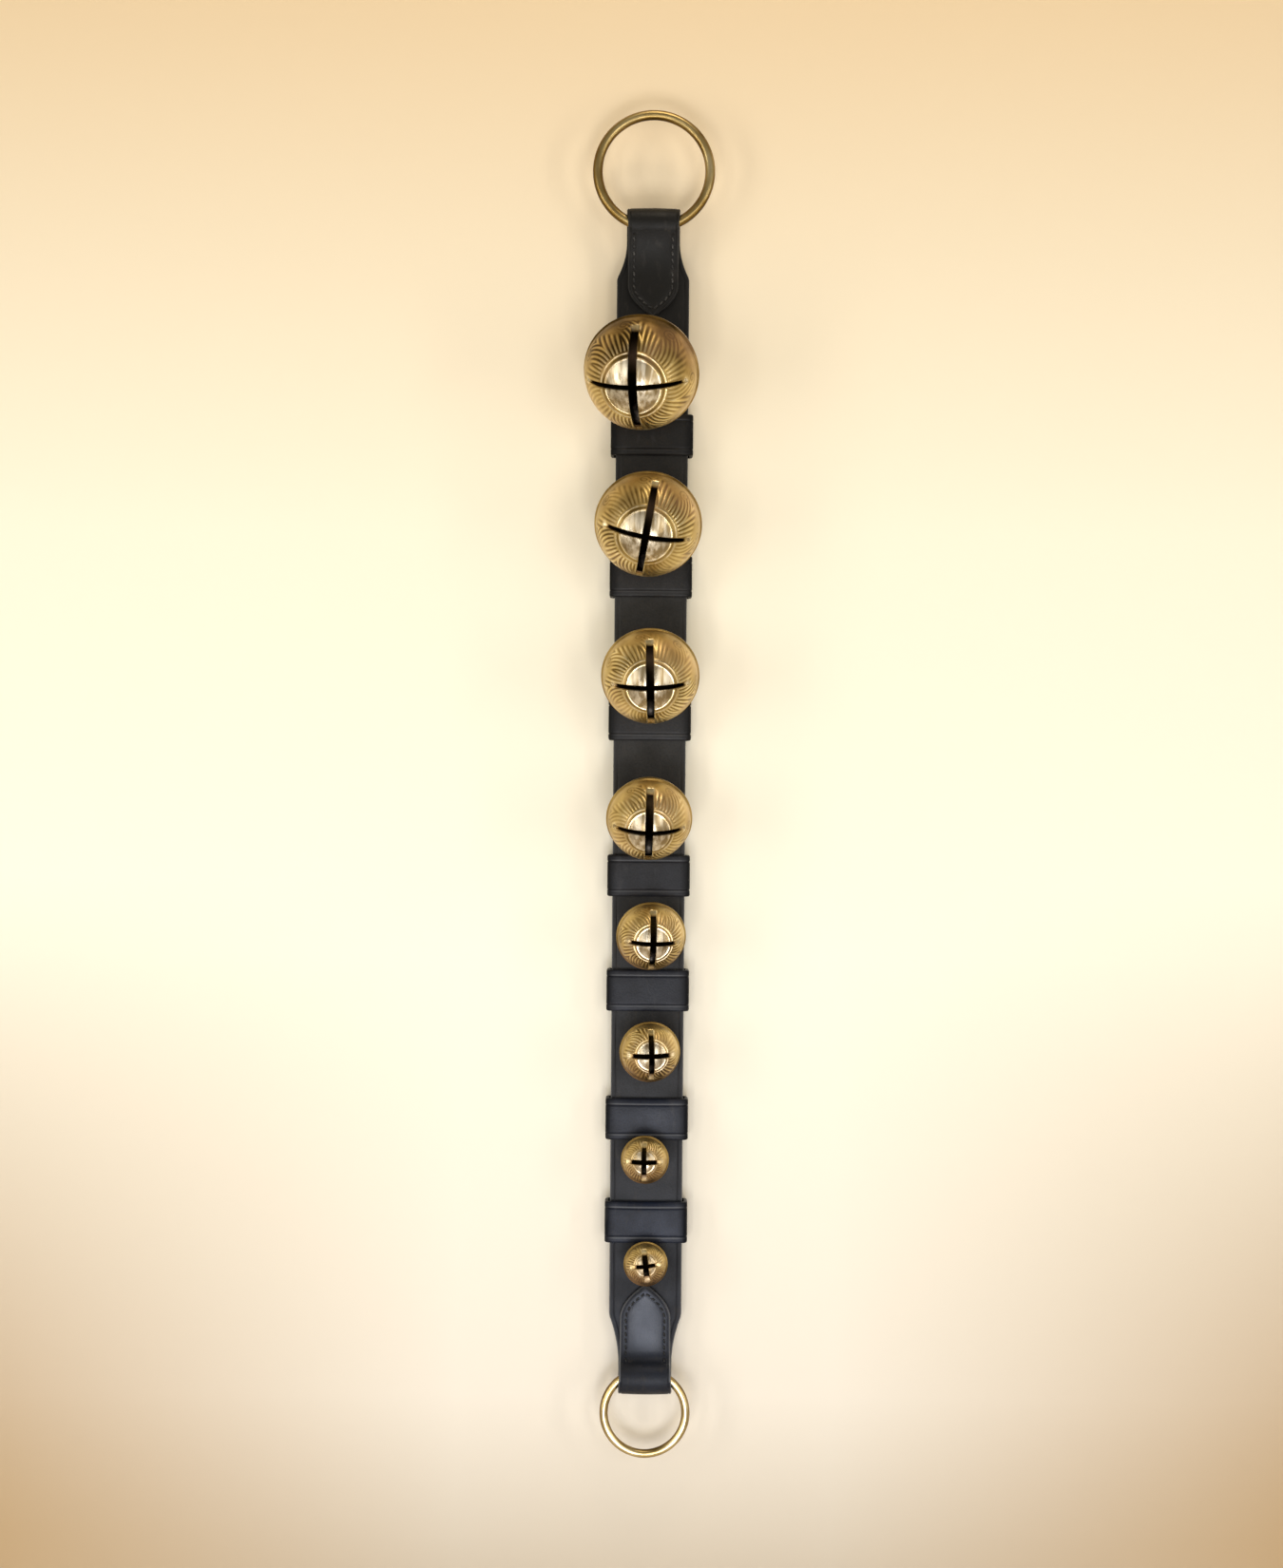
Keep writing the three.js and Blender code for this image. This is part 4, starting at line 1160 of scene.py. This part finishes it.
def wall_finish():
    """Cream paint with painted shade: warmer and a little darker above the strap, darker below it, and darker
    and warmer low down at its sides.
    """
    finish = Finish("wall_paint")
    place = finish.parts(finish.place)
    aside = finish.span(finish.math("ABSOLUTE", place["X"], 0.0), 0.1, 0.34, 0.0, 0.9)
    low = finish.span(place["Z"], -0.4, -0.75, 0.0, 1.0)
    # painted shade on the backdrop: it falls off towards the top and the bottom
    shade = finish.ramp(
        finish.span(place["Z"], -0.8, 0.1, 0.0, 1.0),
        (0.0, srgb(180, 166, 144)),
        (1.0, srgb(232, 206, 164)),
        (0.14, srgb(227, 220, 207)),
        (0.4, srgb(247, 242, 225)),
        (0.65, srgb(248, 241, 219)),
    )
    # painted shade: darker and warmer low down at the sides
    painted_corner_shade = finish.mix(finish.times(aside, low), shade, srgb(178, 150, 110))
    finish.set(base_color=painted_corner_shade, roughness=0.85)
    finish.set(normal=finish.bump(finish.noise(160, 4), 0.3 * MM, 0.12))
    behind = finish.add("ShaderNodeNewGeometry").outputs["Backfacing"]
    choice = finish.add("ShaderNodeMixShader", {"Fac": behind})
    finish.put(choice.inputs[1], finish.surface.outputs[0])
    finish.put(choice.inputs[2], finish.add("ShaderNodeBsdfTransparent").outputs[0])
    finish.put(finish.tree.nodes["Material Output"].inputs["Surface"], choice.outputs[0])
    return finish.material


def floor_finish():
    finish = Finish("floor_paint")
    finish.set(base_color=srgb(236, 230, 220), roughness=0.8)
    finish.set(normal=finish.bump(finish.noise(120, 4), 0.3 * MM, 0.1))
    return finish.material


def stage_plane(name, corners, material):
    plane = new_piece(name, corners, [[0, 1, 2, 3]])
    paint(plane, material)
    return plane


def make_stage():
    wall_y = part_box("keeper_1")[1].y + WALL_GAP
    floor_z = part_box("bottom_ring")[0].z - FLOOR_DROP
    sides = [(-STAGE_REACH, -1), (STAGE_REACH, -1), (STAGE_REACH, 1), (-STAGE_REACH, 1)]
    corners = [(x, wall_y, STAGE_REACH if high > 0 else floor_z) for x, high in sides]
    wall = stage_plane("wall", corners, wall_finish())
    wall.visible_shadow = False  # so that the lamp behind it lights the strap's back
    stage_plane("floor", [(x, STAGE_REACH * far, floor_z) for x, far in sides], floor_finish())


# Light: tall soft windows and strips at both sides of the camera, low ones in front, one above and one behind
WORLD_BEHIND = 0.42  # strength of the studio's own light behind the camera, and everywhere else
WORLD_AHEAD = 0.58


def window_lamp(name, place, target_z, width, height, power, colour):
    data = bpy.data.lights.new(name, "AREA")
    data.shape = "RECTANGLE"
    data.size = width
    data.size_y = height
    data.energy = power
    data.color = colour[:3]
    lamp = add_object(name, data)
    lamp.location = place
    lamp.rotation_euler = (Vector((0, 0, target_z)) - Vector(place)).to_track_quat("-Z", "Y").to_euler()


def make_world():
    """A pale studio, lightest at the height of the eye and darker behind the camera."""
    world = bpy.data.worlds.new("studio")
    bpy.context.scene.world = world
    nodes = Nodes(world)
    direction = nodes.parts(nodes.add("ShaderNodeTexCoord").outputs["Generated"])
    tint = nodes.ramp(
        nodes.span(direction["Z"], -1, 1, 0, 1),
        (0.0, srgb(190, 184, 174)),
        (1.0, srgb(176, 164, 142)),
        (0.4, srgb(224, 219, 210)),
        (0.64, srgb(224, 219, 210)),
        (0.8, srgb(184, 172, 150)),
    )
    background = nodes.tree.nodes["Background"].inputs
    nodes.put(background["Color"], tint)
    nodes.put(background["Strength"], nodes.span(direction["Y"], -1, -0.5, WORLD_BEHIND, WORLD_AHEAD))


DAYLIGHT = srgb(255, 250, 242)
COOL = srgb(222, 232, 255)
WARM = srgb(255, 240, 220)

# Each lamp: name, place, height that it points at on the strap, width, height, power in watts and colour
LAMPS = [
    ("left_window", (-1.12, -0.8, -0.4), -0.4, 0.3, 1.0, 4.2, DAYLIGHT),
    ("left_strip", (-0.8, -1.25, -0.45), -0.4, 0.12, 0.9, 2.0, DAYLIGHT),
    ("right_window", (0.68, -1.32, -0.4), -0.4, 0.34, 0.9, 3.3, DAYLIGHT),
    ("right_strip", (1.2, -0.8, -0.4), -0.4, 0.14, 0.9, 2.8, DAYLIGHT),
    ("front_strip", (-0.14, -1.7, -0.5), -0.4, 0.1, 0.8, 1.7, DAYLIGHT),
    ("low_window", (0.0, -1.3, -1.08), -0.65, 0.4, 0.4, 3.8, COOL),
    ("left_low", (-0.28, -1.0, -0.86), -0.35, 0.14, 0.4, 1.9, DAYLIGHT),
    ("right_low", (0.2, -1.0, -0.86), -0.35, 0.14, 0.4, 1.9, DAYLIGHT),
    ("ceiling_lamp", (0.15, -0.55, 1.0), -0.45, 0.5, 0.4, 4.2, WARM),
    ("back_window", (0.7, 1.6, 0.2), -0.35, 1.2, 1.2, 28, DAYLIGHT),
]


def make_light():
    for lamp in LAMPS:
        window_lamp(*lamp)
    make_world()


# Camera: level with the middle of the strap, turned by the strap's slight lean in the picture
CAMERA_PLACE = (-4.1 * MM, -1095 * MM, -348.45 * MM)
CAMERA_LENS = 47.9
CAMERA_SENSOR = 36
CAMERA_ROLL = -0.446 * DEGREE


def make_camera():
    data = bpy.data.cameras.new("camera")
    data.lens = CAMERA_LENS
    data.sensor_width = CAMERA_SENSOR
    camera = add_object("camera", data)
    camera.matrix_world = (
        Matrix.Translation(CAMERA_PLACE)
        @ Matrix.Rotation(CAMERA_ROLL, 4, "Y")
        @ Matrix.Rotation(math.pi / 2, 4, "X")
    )
    bpy.context.scene.camera = camera


bpy.context.scene.view_settings.view_transform = "Standard"
make_camera()
make_object()
make_stage()
make_light()
